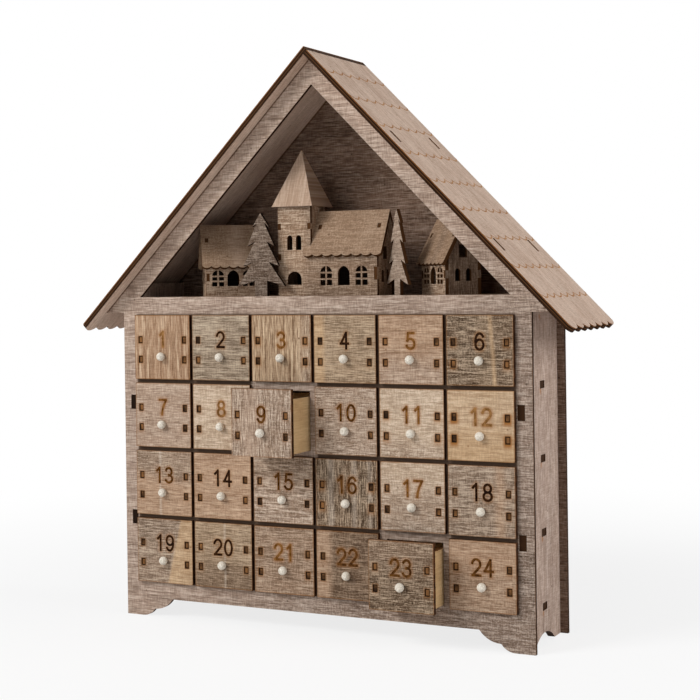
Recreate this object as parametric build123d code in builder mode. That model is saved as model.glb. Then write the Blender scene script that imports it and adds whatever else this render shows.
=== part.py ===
from build123d import *
import math
import os

os.makedirs("parts", exist_ok=True)

# A wooden advent calendar in the shape of a gabled house, laser-cut from thin plywood.
# Millimetres. +X is right, +Y is back, +Z is up. The pieces are drawn about the middle of the
# case and written about the middle of the floor that the whole calendar takes up.

# Drawer grid
columns = 6
rows = 4
cell_pitch = 50.0
lowest_shelf_top = 27.5

# Sheet thicknesses
panel_thickness = 3.0
side_thickness = 5.0
shelf_thickness = 5.0
divider_thickness = 4.0
drawer_sheet = 3.0
roof_thickness = 4.0
village_sheet = 2.5

# Case and gable
case_depth = 70.0
panel_reach = 5.5
sill_rise = 8.8
shoulder_rise = 4.8
ear_drop = 16.2
gable_band = 13.75

# Roof
roof_pitch = 45.5
eave_reach = 31.8
roof_front_reach = 11.0
roof_back_reach = 14.5
eave_scallops = 7
eave_scallop_rise = 3.6

# Feet of the front and back panels, measured inwards from the panel's edge
foot_flat = 14.0
foot_step_reach = 24.1
foot_step_rise = 5.3
foot_reach = 39.6
apron_rise = 13.4

# Feet of the side walls
side_foot_length = 12.5
side_arch_rise = 7.5

# Tenons of the case
joint_gap = 0.1
tenon_recess = 0.5
tenon_root = 1.0
side_tenon_height = 10.4
side_tenon_levels = (72.9, 158.5)
shelf_tenon_length = 9.0
roof_tenon_length = 11.5
roof_tenon_places = (91.2, 197.0)

# Drawers
front_gap_across = 2.4
front_gap_up = 2.8
front_lap_side = 2.9
front_lap_below = 1.6
front_lap_above = 3.6
front_seat_gap = 0.1
box_side_gap = 0.4
box_floor_gap = 0.3
box_headroom = 3.7
box_back_gap = 5.0
drawer_tenon_height = 4.6
drawer_tenon_levels = (12.6, 27.1)
drawer_finger_height = 12.0
knob_diameter = 6.2
knob_length = 5.4
knob_bevel = 1.6
knob_sides = 12
knob_level = 16.8

# How far the two drawers that stand open are pulled out
open_drawers = {9: 30.0, 23: 21.0}

# Church, standing square to the case
church_left = -39.0
church_middle = -2.0
church_depth = 26.5
tower_width = 26.5
tower_height = 64.3
nave_length = 52.5
nave_ridge = 60.7
nave_pitch = 62.0
nave_eave_reach = 4.0
nave_end_reach = 4.5
nave_ear_reach = 5.0
nave_scallops = 8
nave_inner_gable = 5.5
spire_width = 33.0
spire_height = 41.0
spire_tip = 0.8
tower_tab_levels = (28.0, 50.0)
tower_tab_height = 4.3
nave_tab_level = 15.5
nave_tab_height = 9.0

# Two cottages of one pattern, turned on the floor
cottage_length = 40.0
cottage_depth = 27.0
cottage_ridge = 53.0
cottage_pitch = 62.0
cottage_eave_reach = 3.5
cottage_end_reach = 3.0
cottage_scallops = 7
cottage_tab_level = 14.0
cottage_tab_height = 5.4
left_cottage_place = (-88.0, 0.0)
left_cottage_turn = 38.0
right_cottage_place = (89.6, 0.0)
right_cottage_turn = -43.0

# Roof joinery of the village houses
house_scallop_rise = 1.6
house_tenon_length = 3.4
house_tenon_place = 13.0

# Window openings
muntin_bar = 1.2
point_rise = 0.62
nave_window = (9.3, 13.7)
nave_window_sill = 7.3
nave_window_pitch = 14.0
tower_lancet = (4.3, 10.7)
tower_lancet_sill = 33.0
tower_lancet_pitch = 7.2
tower_arch = (11.3, 9.6)
tower_arch_sill = 7.9
cottage_window = (8.8, 11.8)
cottage_window_sill = 7.4
cottage_window_pitch = 11.3
cottage_lancet = (3.9, 8.7)
cottage_lancet_sill = 9.3
cottage_lancet_pitch = 8.2
cottage_loft_window = (6.0, 9.0)
cottage_loft_sill = 25.4

# Fir trees: half width of each tier and how far its tip hangs below the top, and the notch above it
tree_height = 60.0
tree_tips = ((6.8, 10.0), (11.0, 23.6), (14.7, 38.2), (19.5, 52.8))
tree_notch_depth = 0.46
tree_notch_lift = 2.8
tree_skirt_lift = 4.0
tree_trunk_width = 10.0
tree_tenon_width = 6.0
left_tree_beside = 9.5
left_tree_setback = 12.0
left_tree_turn = 0.0
right_tree_beside = 16.5
right_tree_setback = 20.0
right_tree_turn = -43.0

# Worked out from the driving dimensions
inner_half_width = columns * cell_pitch / 2
panel_half_width = inner_half_width + side_thickness + panel_reach
inner_half_depth = case_depth / 2 - panel_thickness
front_face = -case_depth / 2
sill_level = lowest_shelf_top + rows * cell_pitch + sill_rise
shoulder_level = sill_level + shoulder_rise
roof_slant = math.radians(roof_pitch)
gable_peak = shoulder_level + panel_half_width * math.tan(roof_slant)
ridge_level = gable_peak + roof_thickness / math.cos(roof_slant)
roof_slope_length = (panel_half_width + eave_reach) / math.cos(roof_slant)
front_width = cell_pitch - front_gap_across
front_height = cell_pitch - front_gap_up
opening_width = front_width - 2 * front_lap_side
opening_height = front_height - front_lap_below - front_lap_above
box_width = opening_width - 2 * box_side_gap
box_height = opening_height - box_floor_gap - box_headroom
box_length = case_depth - panel_thickness - box_back_gap
shelf_tops = [lowest_shelf_top + row * cell_pitch for row in range(rows)]
shelf_levels = shelf_tops + [sill_level]
divider_places = [(column + 1) * cell_pitch - inner_half_width for column in range(columns - 1)]
tower_right = church_left + tower_width
church_right = tower_right + nave_length
left_tree_place = (church_left - left_tree_beside, front_face + left_tree_setback)
right_tree_place = (church_right + right_tree_beside, front_face + right_tree_setback)
knob_reach = front_seat_gap + drawer_sheet + knob_length
front_reach = max(roof_front_reach, knob_reach + max(open_drawers.values()))
depth_middle = (roof_back_reach - front_reach) / 2


def upright(depth):
    """A plane that faces the front, with x to the right and z up, at this depth."""
    return Plane(origin=(0, depth, 0), x_dir=(1, 0, 0), z_dir=(0, -1, 0))


def crosswise(across):
    """A plane that faces right, with y to the back and z up, at this place across."""
    return Plane(origin=(across, 0, 0), x_dir=(0, 1, 0), z_dir=(1, 0, 0))


def turned_ground(place, turn, level):
    """A level plane at a place on the floor, turned about the vertical."""
    angle = math.radians(turn)
    heading = (math.cos(angle), math.sin(angle), 0)
    return Plane(origin=(place[0], place[1], level), x_dir=heading, z_dir=(0, 0, 1))


def wall_plane(ground, turn, distance):
    """The outer face of a house wall: turn 0 is its front, 90 its right end, 180 its back."""
    angle = math.radians(turn)
    outwards = ground.x_dir * math.sin(angle) - ground.y_dir * math.cos(angle)
    along = ground.x_dir * math.cos(angle) + ground.y_dir * math.sin(angle)
    return Plane(origin=ground.origin + outwards * distance, x_dir=along, z_dir=outwards)


def keep(part, name):
    """Label a finished piece and write its file, about the middle of the whole calendar."""
    whole_middle = Location((0, -depth_middle, 0))
    piece = Compound(children=[solid.moved(whole_middle) for solid in part.solids()])
    piece.label = name
    export_step(piece, f"parts/{name}.step")


def slope_tenon(side, place, ridge, pitch, sheet, length):
    """A tenon of a gable, square to the roof slope and ending just below its outer face."""
    angle = math.radians(pitch)
    height = sheet + tenon_root - tenon_recess
    depth = tenon_recess + height / 2
    across = side * (place * math.cos(angle) - depth * math.sin(angle))
    level = ridge - place * math.sin(angle) - depth * math.cos(angle)
    with Locations(Location((across, level, 0), (0, 0, -side * pitch))):
        Rectangle(length, height)


def gable_panel(outer_face, pierced):
    """A front or back panel: scroll feet, ears under the eaves and, in front, the openings."""
    band_drop = gable_band / math.cos(roof_slant)
    gable_opening_half = (gable_peak - band_drop - sill_level) / math.tan(roof_slant)
    step = (panel_half_width - foot_step_reach, foot_step_rise)
    foot_end = (panel_half_width - foot_flat, 0)
    apron_end = (panel_half_width - foot_reach, apron_rise)
    ear_level = shoulder_level - ear_drop
    ear_tip = panel_half_width + ear_drop / math.tan(roof_slant)
    slot_across = inner_half_width + side_thickness / 2
    grid_level = (shelf_tops[0] + shelf_tops[-1] + opening_height) / 2
    with BuildPart() as panel:
        with BuildSketch(upright(outer_face)):
            with BuildLine():
                Line((0, apron_rise), apron_end)
                TangentArc(step, apron_end, tangent=(-1, 0))
                TangentArc(foot_end, step, tangent=(-1, 0))
                Polyline(
                    foot_end,
                    (panel_half_width, 0),
                    (panel_half_width, ear_level),
                    (ear_tip, ear_level),
                    (0, gable_peak),
                )
                mirror(about=Plane.YZ)
            make_face()
            for side in (1, -1):
                for place in roof_tenon_places:
                    slope_tenon(side, place, ridge_level, roof_pitch, roof_thickness, roof_tenon_length)
                for level in side_tenon_levels:
                    with Locations((side * slot_across, level)):
                        Rectangle(
                            side_thickness + 2 * joint_gap,
                            side_tenon_height + 2 * joint_gap,
                            mode=Mode.SUBTRACT,
                        )
            if pierced:
                with Locations((0, grid_level)):
                    with GridLocations(cell_pitch, cell_pitch, columns, rows):
                        Rectangle(opening_width, opening_height, mode=Mode.SUBTRACT)
                Polygon(
                    (-gable_opening_half, sill_level),
                    (gable_opening_half, sill_level),
                    (0, gable_peak - band_drop),
                    align=None,
                    mode=Mode.SUBTRACT,
                )
        extrude(amount=-panel_thickness)
    return panel.part


def side_wall(lower_face):
    """A side wall: arched between its two feet, tenoned into both panels."""
    top = gable_peak - (inner_half_width + side_thickness) * math.tan(roof_slant)
    arch_end = inner_half_depth - side_foot_length
    tenon_length = panel_thickness - tenon_recess + tenon_root
    tenon_middle = inner_half_depth - tenon_root + tenon_length / 2
    with BuildPart() as wall:
        with BuildSketch(crosswise(lower_face)):
            with BuildLine():
                ThreePointArc((-arch_end, 0), (0, side_arch_rise), (arch_end, 0))
                Polyline(
                    (arch_end, 0),
                    (inner_half_depth, 0),
                    (inner_half_depth, top),
                    (-inner_half_depth, top),
                    (-inner_half_depth, 0),
                    (-arch_end, 0),
                )
            make_face()
            for end in (1, -1):
                for level in side_tenon_levels:
                    with Locations((end * tenon_middle, level)):
                        Rectangle(tenon_length, side_tenon_height)
            for level in shelf_levels:
                with Locations((0, level - shelf_thickness / 2)):
                    Rectangle(
                        shelf_tenon_length + 2 * joint_gap,
                        shelf_thickness + 2 * joint_gap,
                        mode=Mode.SUBTRACT,
                    )
        extrude(amount=side_thickness)
    return wall.part


def shelf_board(top, slotted):
    """A shelf: one tenon through each side wall, slots at the back for the dividers."""
    tenon_reach = side_thickness - tenon_recess
    slot_width = divider_thickness + 2 * joint_gap
    slot_depth = inner_half_depth + joint_gap
    with BuildPart() as board:
        with BuildSketch(Plane.XY.offset(top)):
            Rectangle(2 * inner_half_width, 2 * inner_half_depth)
            Rectangle(2 * (inner_half_width + tenon_reach), shelf_tenon_length)
            if slotted:
                for place in divider_places:
                    with Locations((place, inner_half_depth)):
                        Rectangle(
                            slot_width,
                            slot_depth,
                            align=(Align.CENTER, Align.MAX),
                            mode=Mode.SUBTRACT,
                        )
        extrude(amount=-shelf_thickness)
    return board.part


def village_floor_board():
    """The floor of the gable room: a shelf with a slot for each tree's tenon."""
    trees = ((left_tree_place, left_tree_turn), (right_tree_place, right_tree_turn))
    with BuildPart() as board:
        add(shelf_board(sill_level, False))
        with BuildSketch(Plane.XY.offset(sill_level)):
            for place, turn in trees:
                with Locations(Location((place[0], place[1], 0), (0, 0, turn))):
                    Rectangle(tree_tenon_width + 2 * joint_gap, village_sheet + 2 * joint_gap)
        extrude(amount=-shelf_thickness, mode=Mode.SUBTRACT)
    return board.part


def divider_board(place):
    """An upright divider, halved from the front over the shelves between the rows."""
    height = sill_level - shelf_thickness - lowest_shelf_top
    slot_depth = inner_half_depth + joint_gap
    with BuildPart() as board:
        with BuildSketch(crosswise(place - divider_thickness / 2)):
            with Locations((0, lowest_shelf_top)):
                Rectangle(2 * inner_half_depth, height, align=(Align.CENTER, Align.MIN))
            for top in shelf_tops[1:]:
                with Locations((-inner_half_depth, top - shelf_thickness / 2)):
                    Rectangle(
                        slot_depth,
                        shelf_thickness + 2 * joint_gap,
                        align=(Align.MIN, Align.CENTER),
                        mode=Mode.SUBTRACT,
                    )
        extrude(amount=divider_thickness)
    return board.part


def pitched_sheet(
    ground, side, covers, ridge, pitch, sheet, slope, span, scallops, rise, mortises, mortise
):
    """One roof sheet. At the ridge the covering sheet laps the end of the other one.

    The ridge lies along the ground plane's x axis, over the stretch given by span.
    The side is 1 for the slope towards +y of that plane and -1 for the other.
    """
    angle = math.radians(pitch)
    outwards = ground.y_dir * (side * math.sin(angle)) + ground.z_dir * math.cos(angle)
    peak = ground.origin + ground.z_dir * ridge
    slope_plane = Plane(origin=peak, x_dir=ground.x_dir * side, z_dir=outwards)
    section = Plane(origin=peak + ground.x_dir * span[0], x_dir=ground.y_dir, z_dir=ground.x_dir)
    eave = (side * slope * math.cos(angle), -slope * math.sin(angle))
    inner_eave = (eave[0] - side * sheet * math.sin(angle), eave[1] - sheet * math.cos(angle))
    lap = (sheet / (2 * math.sin(angle)), -sheet / (2 * math.cos(angle)))
    if covers:
        corners = ((0, 0), eave, inner_eave, (-side * lap[0], lap[1]))
    else:
        corners = ((side * lap[0], lap[1]), eave, inner_eave, (0, -sheet / math.cos(angle)))
    start = min(side * span[0], side * span[1])
    length = span[1] - span[0]
    step = length / scallops
    with BuildPart() as roof:
        with BuildSketch(section):
            Polygon(*corners, align=None)
        extrude(amount=length)
        with BuildSketch(slope_plane):
            with BuildLine():
                for index in range(scallops):
                    left = start + index * step
                    ThreePointArc(
                        (left, slope - rise),
                        (left + step / 2, slope),
                        (left + step, slope - rise),
                    )
                Polyline(
                    (start, slope - rise),
                    (start, -2 * sheet),
                    (start + length, -2 * sheet),
                    (start + length, slope - rise),
                )
            make_face()
        extrude(amount=2 * sheet, both=True, mode=Mode.INTERSECT)
        with BuildSketch(slope_plane):
            for along, down in mortises:
                with Locations((side * along, down)):
                    Rectangle(*mortise)
        extrude(amount=2 * sheet, both=True, mode=Mode.SUBTRACT)
    return roof.part


def pointed_arch(width, height):
    """An opening with upright sides and a pointed head, standing on its bottom edge."""
    half = width / 2
    spring = height - point_rise * width
    with BuildSketch() as opening:
        with BuildLine():
            Polyline((-half, spring), (-half, 0), (half, 0), (half, spring))
            TangentArc((half, spring), (0, height), tangent=(0, 1))
            TangentArc((-half, spring), (0, height), tangent=(0, 1))
        make_face()
    return opening.sketch


def round_arch(width, height):
    """A round-headed opening standing on its bottom edge."""
    half = width / 2
    spring = height - half
    with BuildSketch() as opening:
        with BuildLine():
            Polyline((-half, spring), (-half, 0), (half, 0), (half, spring))
            ThreePointArc((half, spring), (0, height), (-half, spring))
        make_face()
    return opening.sketch


def barred_window(width, height):
    """A round-headed window with an upright bar and two cross bars left in it."""
    spring = height - width / 2
    with BuildSketch() as opening:
        add(round_arch(width, height))
        Rectangle(muntin_bar, height, align=(Align.CENTER, Align.MIN), mode=Mode.SUBTRACT)
        for level in (spring / 2, spring):
            with Locations((0, level)):
                Rectangle(width, muntin_bar, mode=Mode.SUBTRACT)
    return opening.sketch


def square_window(width, height):
    """A plain rectangular opening standing on its bottom edge."""
    with BuildSketch() as opening:
        Rectangle(width, height, align=(Align.CENTER, Align.MIN))
    return opening.sketch


def cut_openings(openings):
    """Cut each opening of a wall's list: its shape, its place along and its sill."""
    for shape, along, sill in openings:
        with Locations((along, sill)):
            add(shape, mode=Mode.SUBTRACT)


def end_tab_cut(across, level, height):
    """A notch at a wall's end for the tab of the wall that meets it."""
    with Locations((across, level)):
        Rectangle(2 * village_sheet, height + 2 * joint_gap, mode=Mode.SUBTRACT)


def house_gable(outer, depth, ridge, pitch, tab_level, tab_height, openings):
    """A gable wall between the long walls: tabs through them and a tenon through each slope."""
    angle = math.radians(pitch)
    half = depth / 2 - village_sheet
    peak = ridge - village_sheet / math.cos(angle)
    with BuildPart() as gable:
        with BuildSketch(outer):
            Polygon(
                (-half, 0),
                (half, 0),
                (half, peak - half * math.tan(angle)),
                (0, peak),
                (-half, peak - half * math.tan(angle)),
                align=None,
            )
            for side in (1, -1):
                slope_tenon(side, house_tenon_place, ridge, pitch, village_sheet, house_tenon_length)
                if tab_height:
                    with Locations((side * (half + village_sheet / 2 - tenon_root / 2), tab_level)):
                        Rectangle(village_sheet + tenon_root, tab_height)
            cut_openings(openings)
        extrude(amount=-village_sheet)
    return gable.part


def house_wall_height(depth, ridge, pitch):
    """Where the underside of the roof meets the outer face of a long wall."""
    angle = math.radians(pitch)
    return ridge - village_sheet / math.cos(angle) - depth / 2 * math.tan(angle)


def cottage_wall(outer, openings):
    """A long wall of a cottage, notched at both ends for the gable tabs."""
    height = house_wall_height(cottage_depth, cottage_ridge, cottage_pitch)
    with BuildPart() as wall:
        with BuildSketch(outer):
            Rectangle(cottage_length, height, align=(Align.CENTER, Align.MIN))
            for side in (1, -1):
                end_tab_cut(side * cottage_length / 2, cottage_tab_level, cottage_tab_height)
            cut_openings(openings)
        extrude(amount=-village_sheet)
    return wall.part


def church_long_wall(outer, mirrored, openings):
    """The tower wall and the nave wall in one sheet, notched for the cross walls."""
    nave_height = house_wall_height(church_depth, nave_ridge, nave_pitch)
    way = -1 if mirrored else 1
    tower_middle = way * (church_left + tower_width / 2)
    nave_middle = way * (church_left + tower_width + nave_length / 2)
    with BuildPart() as wall:
        with BuildSketch(outer):
            with Locations((tower_middle, 0)):
                Rectangle(tower_width, tower_height, align=(Align.CENTER, Align.MIN))
            with Locations((nave_middle, 0)):
                Rectangle(nave_length, nave_height, align=(Align.CENTER, Align.MIN))
            for level in tower_tab_levels:
                end_tab_cut(way * church_left, level, tower_tab_height)
            end_tab_cut(way * (church_left + tower_width), tower_tab_levels[1], tower_tab_height)
            end_tab_cut(way * (church_left + tower_width + nave_length), nave_tab_level, nave_tab_height)
            cut_openings(openings)
        extrude(amount=-village_sheet)
    return wall.part


def tower_cross_wall(outer, levels):
    """A side wall of the tower with its tabs through the long walls."""
    half = church_depth / 2 - village_sheet
    with BuildPart() as wall:
        with BuildSketch(outer):
            Rectangle(2 * half, tower_height, align=(Align.CENTER, Align.MIN))
            for level in levels:
                with Locations((0, level)):
                    Rectangle(church_depth, tower_tab_height)
        extrude(amount=-village_sheet)
    return wall.part


def spire_boards(middle, level):
    """Four mitred triangles over a square plate that sits on the tower walls."""
    base = Plane(origin=(middle[0], middle[1], level))
    lean = math.atan2(spire_height, (spire_width - spire_tip) / 2)
    taper = 90 - math.degrees(lean)
    wall = village_sheet / math.sin(lean)
    cavity_height = spire_height - village_sheet / math.cos(lean)
    plate_width = spire_width - 2 * wall - 2 * (village_sheet / math.tan(lean) + joint_gap)
    with BuildPart() as shell:
        with BuildSketch(base):
            Rectangle(spire_width, spire_width)
        extrude(amount=spire_height, taper=taper)
        with BuildSketch(base):
            Rectangle(spire_width - 2 * wall, spire_width - 2 * wall)
        extrude(amount=cavity_height, taper=taper, mode=Mode.SUBTRACT)
        for corner in (45, 135):
            angle = math.radians(corner)
            across = (math.cos(angle), math.sin(angle), 0)
            split(bisect_by=Plane(origin=base.origin, z_dir=across), keep=Keep.BOTH)
    with BuildPart() as plate:
        with BuildSketch(base):
            Rectangle(plate_width, plate_width)
        extrude(amount=village_sheet)
    return Compound(children=list(shell.part.solids()) + [plate.part])


def fir_tree(place, turn):
    """A flat fir tree with drooping tiers and a tenon let into the floor."""
    ground = turned_ground(place, turn, sill_level)
    middle_plane = wall_plane(ground, 0, 0)
    outline = [(0, tree_height)]
    for index, (reach, drop) in enumerate(tree_tips):
        outline.append((reach, tree_height - drop))
        if index + 1 < len(tree_tips):
            outline.append((reach * tree_notch_depth, tree_height - drop + tree_notch_lift))
    outline.append((tree_trunk_width / 2, tree_height - tree_tips[-1][1] + tree_skirt_lift))
    outline.append((tree_trunk_width / 2, 0))
    outline.append((0, 0))
    tenon_depth = shelf_thickness - tenon_recess
    with BuildPart() as tree:
        with BuildSketch(middle_plane):
            with BuildLine():
                Polyline(*outline)
                mirror(about=Plane.YZ)
            make_face()
            with Locations((0, -tenon_depth)):
                Rectangle(tree_tenon_width, tenon_depth + tenon_root, align=(Align.CENTER, Align.MIN))
        extrude(amount=village_sheet / 2, both=True)
    return tree.part


# The case: front and back panels, side walls, shelves and dividers
keep(gable_panel(front_face, True), "front_panel")
keep(gable_panel(inner_half_depth, False), "back_panel")
keep(side_wall(-inner_half_width - side_thickness), "left_side")
keep(side_wall(inner_half_width), "right_side")
shelf_names = ("bottom_shelf", "lower_shelf", "middle_shelf", "upper_shelf")
for shelf_name, shelf_top in zip(shelf_names, shelf_tops):
    keep(shelf_board(shelf_top, shelf_top > lowest_shelf_top), shelf_name)
keep(village_floor_board(), "village_floor")
for divider_number, divider_place in enumerate(divider_places, start=1):
    keep(divider_board(divider_place), f"column_divider_{divider_number}")

# The roof: the left sheet laps the end of the right one along the ridge
case_ground = turned_ground((0, 0), 90, 0)
panel_middle = case_depth / 2 - panel_thickness / 2
roof_span = (-case_depth / 2 - roof_front_reach, case_depth / 2 + roof_back_reach)
roof_mortises = [(along, down) for along in (-panel_middle, panel_middle) for down in roof_tenon_places]
roof_mortise = (panel_thickness + 2 * joint_gap, roof_tenon_length + 2 * joint_gap)
for roof_name, roof_side in (("left_roof", 1), ("right_roof", -1)):
    roof_sheet = pitched_sheet(
        case_ground,
        roof_side,
        roof_side == 1,
        ridge_level,
        roof_pitch,
        roof_thickness,
        roof_slope_length,
        roof_span,
        eave_scallops,
        eave_scallop_rise,
        roof_mortises,
        roof_mortise,
    )
    keep(roof_sheet, roof_name)

# The church: long walls, cross walls, roof sheets and spire
church_ground = turned_ground((0, church_middle), 0, sill_level)
tower_middle = church_left + tower_width / 2
nave_window_middle = tower_right + nave_length / 2
church_front_openings = [
    (pointed_arch(*tower_lancet), tower_middle - tower_lancet_pitch / 2, tower_lancet_sill),
    (pointed_arch(*tower_lancet), tower_middle + tower_lancet_pitch / 2, tower_lancet_sill),
    (round_arch(*tower_arch), tower_middle, tower_arch_sill),
    (barred_window(*nave_window), nave_window_middle - nave_window_pitch, nave_window_sill),
    (pointed_arch(*nave_window), nave_window_middle, nave_window_sill),
    (barred_window(*nave_window), nave_window_middle + nave_window_pitch, nave_window_sill),
]
cottage_gable_openings = [
    (pointed_arch(*cottage_lancet), -cottage_lancet_pitch / 2, cottage_lancet_sill),
    (pointed_arch(*cottage_lancet), cottage_lancet_pitch / 2, cottage_lancet_sill),
    (square_window(*cottage_loft_window), 0, cottage_loft_sill),
]
church_half = church_depth / 2
church_front_plane = wall_plane(church_ground, 0, church_half)
church_back_plane = wall_plane(church_ground, 180, church_half)
keep(church_long_wall(church_front_plane, False, church_front_openings), "church_front_wall")
keep(church_long_wall(church_back_plane, True, []), "church_back_wall")
keep(tower_cross_wall(wall_plane(church_ground, 270, -church_left), tower_tab_levels), "tower_left_wall")
keep(tower_cross_wall(wall_plane(church_ground, 90, tower_right), tower_tab_levels[1:]), "tower_right_wall")
nave_gable_size = (church_depth, nave_ridge, nave_pitch, nave_tab_level)
end_gable = house_gable(
    wall_plane(church_ground, 90, church_right), *nave_gable_size, nave_tab_height, cottage_gable_openings
)
inner_gable_place = tower_right + nave_inner_gable
inner_gable = house_gable(wall_plane(church_ground, 90, inner_gable_place), *nave_gable_size, 0, [])
keep(Compound(children=[end_gable, inner_gable]), "nave_gables")
nave_slope_length = (church_half + nave_eave_reach) / math.cos(math.radians(nave_pitch))
tower_side = tower_right + joint_gap
nave_spans = {
    "nave_roof_front": (tower_side - nave_ear_reach, church_right + nave_end_reach),
    "nave_roof_back": (tower_side, church_right + nave_end_reach),
}
nave_mortises = [
    (inner_gable_place - village_sheet / 2, house_tenon_place),
    (church_right - village_sheet / 2, house_tenon_place),
]
house_mortise = (village_sheet + 2 * joint_gap, house_tenon_length + 2 * joint_gap)
for nave_name, nave_side in (("nave_roof_front", -1), ("nave_roof_back", 1)):
    nave_sheet = pitched_sheet(
        church_ground,
        nave_side,
        nave_side == 1,
        nave_ridge,
        nave_pitch,
        village_sheet,
        nave_slope_length,
        nave_spans[nave_name],
        nave_scallops,
        house_scallop_rise,
        nave_mortises,
        house_mortise,
    )
    with BuildPart() as fitted_sheet:
        add(nave_sheet)
        with BuildSketch(church_ground):
            with Locations((tower_side, 0)):
                Rectangle(
                    tower_width,
                    church_depth + 2 * joint_gap,
                    align=(Align.MAX, Align.CENTER),
                )
        extrude(amount=nave_ridge, mode=Mode.SUBTRACT)
    keep(fitted_sheet.part, nave_name)
keep(spire_boards((tower_middle, church_middle), sill_level + tower_height), "tower_spire")

# The cottages: two long walls, two gables and two roof sheets each
cottage_front_openings = [
    (barred_window(*cottage_window), -cottage_window_pitch, cottage_window_sill),
    (pointed_arch(*cottage_window), 0, cottage_window_sill),
    (barred_window(*cottage_window), cottage_window_pitch, cottage_window_sill),
]
cottage_places = (
    ("left_cottage", left_cottage_place, left_cottage_turn),
    ("right_cottage", right_cottage_place, right_cottage_turn),
)
cottage_half = cottage_depth / 2
cottage_slope_length = (cottage_half + cottage_eave_reach) / math.cos(math.radians(cottage_pitch))
cottage_roof_half = cottage_length / 2 + cottage_end_reach
cottage_gable_middle = cottage_length / 2 - village_sheet / 2
for cottage_name, cottage_place, cottage_turn in cottage_places:
    ground_plane = turned_ground(cottage_place, cottage_turn, sill_level)
    front_wall = cottage_wall(wall_plane(ground_plane, 0, cottage_half), cottage_front_openings)
    back_wall = cottage_wall(wall_plane(ground_plane, 180, cottage_half), [])
    keep(front_wall, f"{cottage_name}_front_wall")
    keep(back_wall, f"{cottage_name}_back_wall")
    gables = []
    roof_sheets = []
    for gable_turn in (90, 270):
        gable = house_gable(
            wall_plane(ground_plane, gable_turn, cottage_length / 2),
            cottage_depth,
            cottage_ridge,
            cottage_pitch,
            cottage_tab_level,
            cottage_tab_height,
            cottage_gable_openings,
        )
        gables.append(gable)
    for sheet_side in (-1, 1):
        sheet = pitched_sheet(
            ground_plane,
            sheet_side,
            sheet_side == 1,
            cottage_ridge,
            cottage_pitch,
            village_sheet,
            cottage_slope_length,
            (-cottage_roof_half, cottage_roof_half),
            cottage_scallops,
            house_scallop_rise,
            [(-cottage_gable_middle, house_tenon_place), (cottage_gable_middle, house_tenon_place)],
            house_mortise,
        )
        roof_sheets.append(sheet)
    keep(Compound(children=gables), f"{cottage_name}_gables")
    keep(Compound(children=roof_sheets), f"{cottage_name}_roof")

# The fir trees
keep(fir_tree(left_tree_place, left_tree_turn), "left_tree")
keep(fir_tree(right_tree_place, right_tree_turn), "right_tree")

# The boards of one drawer, drawn for the middle of a cell whose shelf top is at height 0
board_face = front_face - front_seat_gap
board_across = box_width / 2 - drawer_sheet / 2
board_end = front_face + box_length
inner_box_width = box_width - 2 * drawer_sheet
knob_height = knob_level - front_lap_below

with BuildPart() as drawer_front:
    with BuildSketch(upright(board_face)):
        with Locations((0, -front_lap_below)):
            Rectangle(front_width, front_height, align=(Align.CENTER, Align.MIN))
        for drawer_side in (1, -1):
            for tenon_level in drawer_tenon_levels:
                with Locations((drawer_side * board_across, box_floor_gap + tenon_level)):
                    Rectangle(
                        drawer_sheet + 2 * joint_gap,
                        drawer_tenon_height + 2 * joint_gap,
                        mode=Mode.SUBTRACT,
                    )
    extrude(amount=drawer_sheet)


def drawer_side_board(lower_face):
    """A side of the drawer box: two tenons through the front, a notch for the back's finger."""
    tenon_length = drawer_sheet - tenon_recess + tenon_root
    with BuildPart() as board:
        with BuildSketch(crosswise(lower_face)):
            with Locations((board_face, box_floor_gap)):
                Rectangle(board_end - board_face, box_height, align=(Align.MIN, Align.MIN))
            for level in drawer_tenon_levels:
                with Locations((board_face + tenon_root, box_floor_gap + level)):
                    Rectangle(tenon_length, drawer_tenon_height, align=(Align.MAX, Align.CENTER))
            with Locations((board_end, box_floor_gap + box_height / 2)):
                Rectangle(
                    2 * drawer_sheet,
                    drawer_finger_height + 2 * joint_gap,
                    mode=Mode.SUBTRACT,
                )
        extrude(amount=drawer_sheet)
    return board.part


with BuildPart() as drawer_back:
    with BuildSketch(upright(board_end)):
        with Locations((0, box_floor_gap)):
            Rectangle(inner_box_width, box_height, align=(Align.CENTER, Align.MIN))
        with Locations((0, box_floor_gap + box_height / 2)):
            Rectangle(box_width, drawer_finger_height)
    extrude(amount=drawer_sheet)

with BuildPart() as drawer_bottom:
    with BuildSketch(Plane.XY.offset(box_floor_gap)):
        with Locations((0, board_face)):
            Rectangle(
                inner_box_width,
                board_end - drawer_sheet - board_face,
                align=(Align.CENTER, Align.MIN),
            )
    extrude(amount=drawer_sheet)

# The bead knob, glued to the front by its flat end
with BuildPart() as drawer_knob:
    with BuildSketch(upright(board_face - drawer_sheet)):
        with Locations((0, knob_height)):
            RegularPolygon(knob_diameter / 2, knob_sides)
    extrude(amount=knob_length)
    chamfer(drawer_knob.faces().filter_by(Axis.Y).edges(), knob_bevel)

drawer_boards = (
    drawer_front.part,
    drawer_side_board(-box_width / 2),
    drawer_side_board(box_width / 2 - drawer_sheet),
    drawer_back.part,
    drawer_bottom.part,
    drawer_knob.part,
)

# The drawers, numbered along each row from the top left
for row in range(rows):
    for column in range(columns):
        number = row * columns + column + 1
        across = (column + 0.5) * cell_pitch - inner_half_width
        pulled = open_drawers.get(number, 0.0)
        cell = Location((across, -pulled, shelf_tops[rows - 1 - row]))
        boards = [board.moved(cell) for board in drawer_boards]
        keep(Compound(children=boards), f"drawer_{number:02d}")
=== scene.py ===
# %% [markdown]
# # A wooden advent calendar
# The calendar is a small gabled house of laser-cut plywood. The measured model comes in as a
# fixed frame, and this script gives every sheet its limed, scorched wood, builds the drawers
# with their burnt numbers and bead knobs, and engraves the shingles on the roof.

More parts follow.
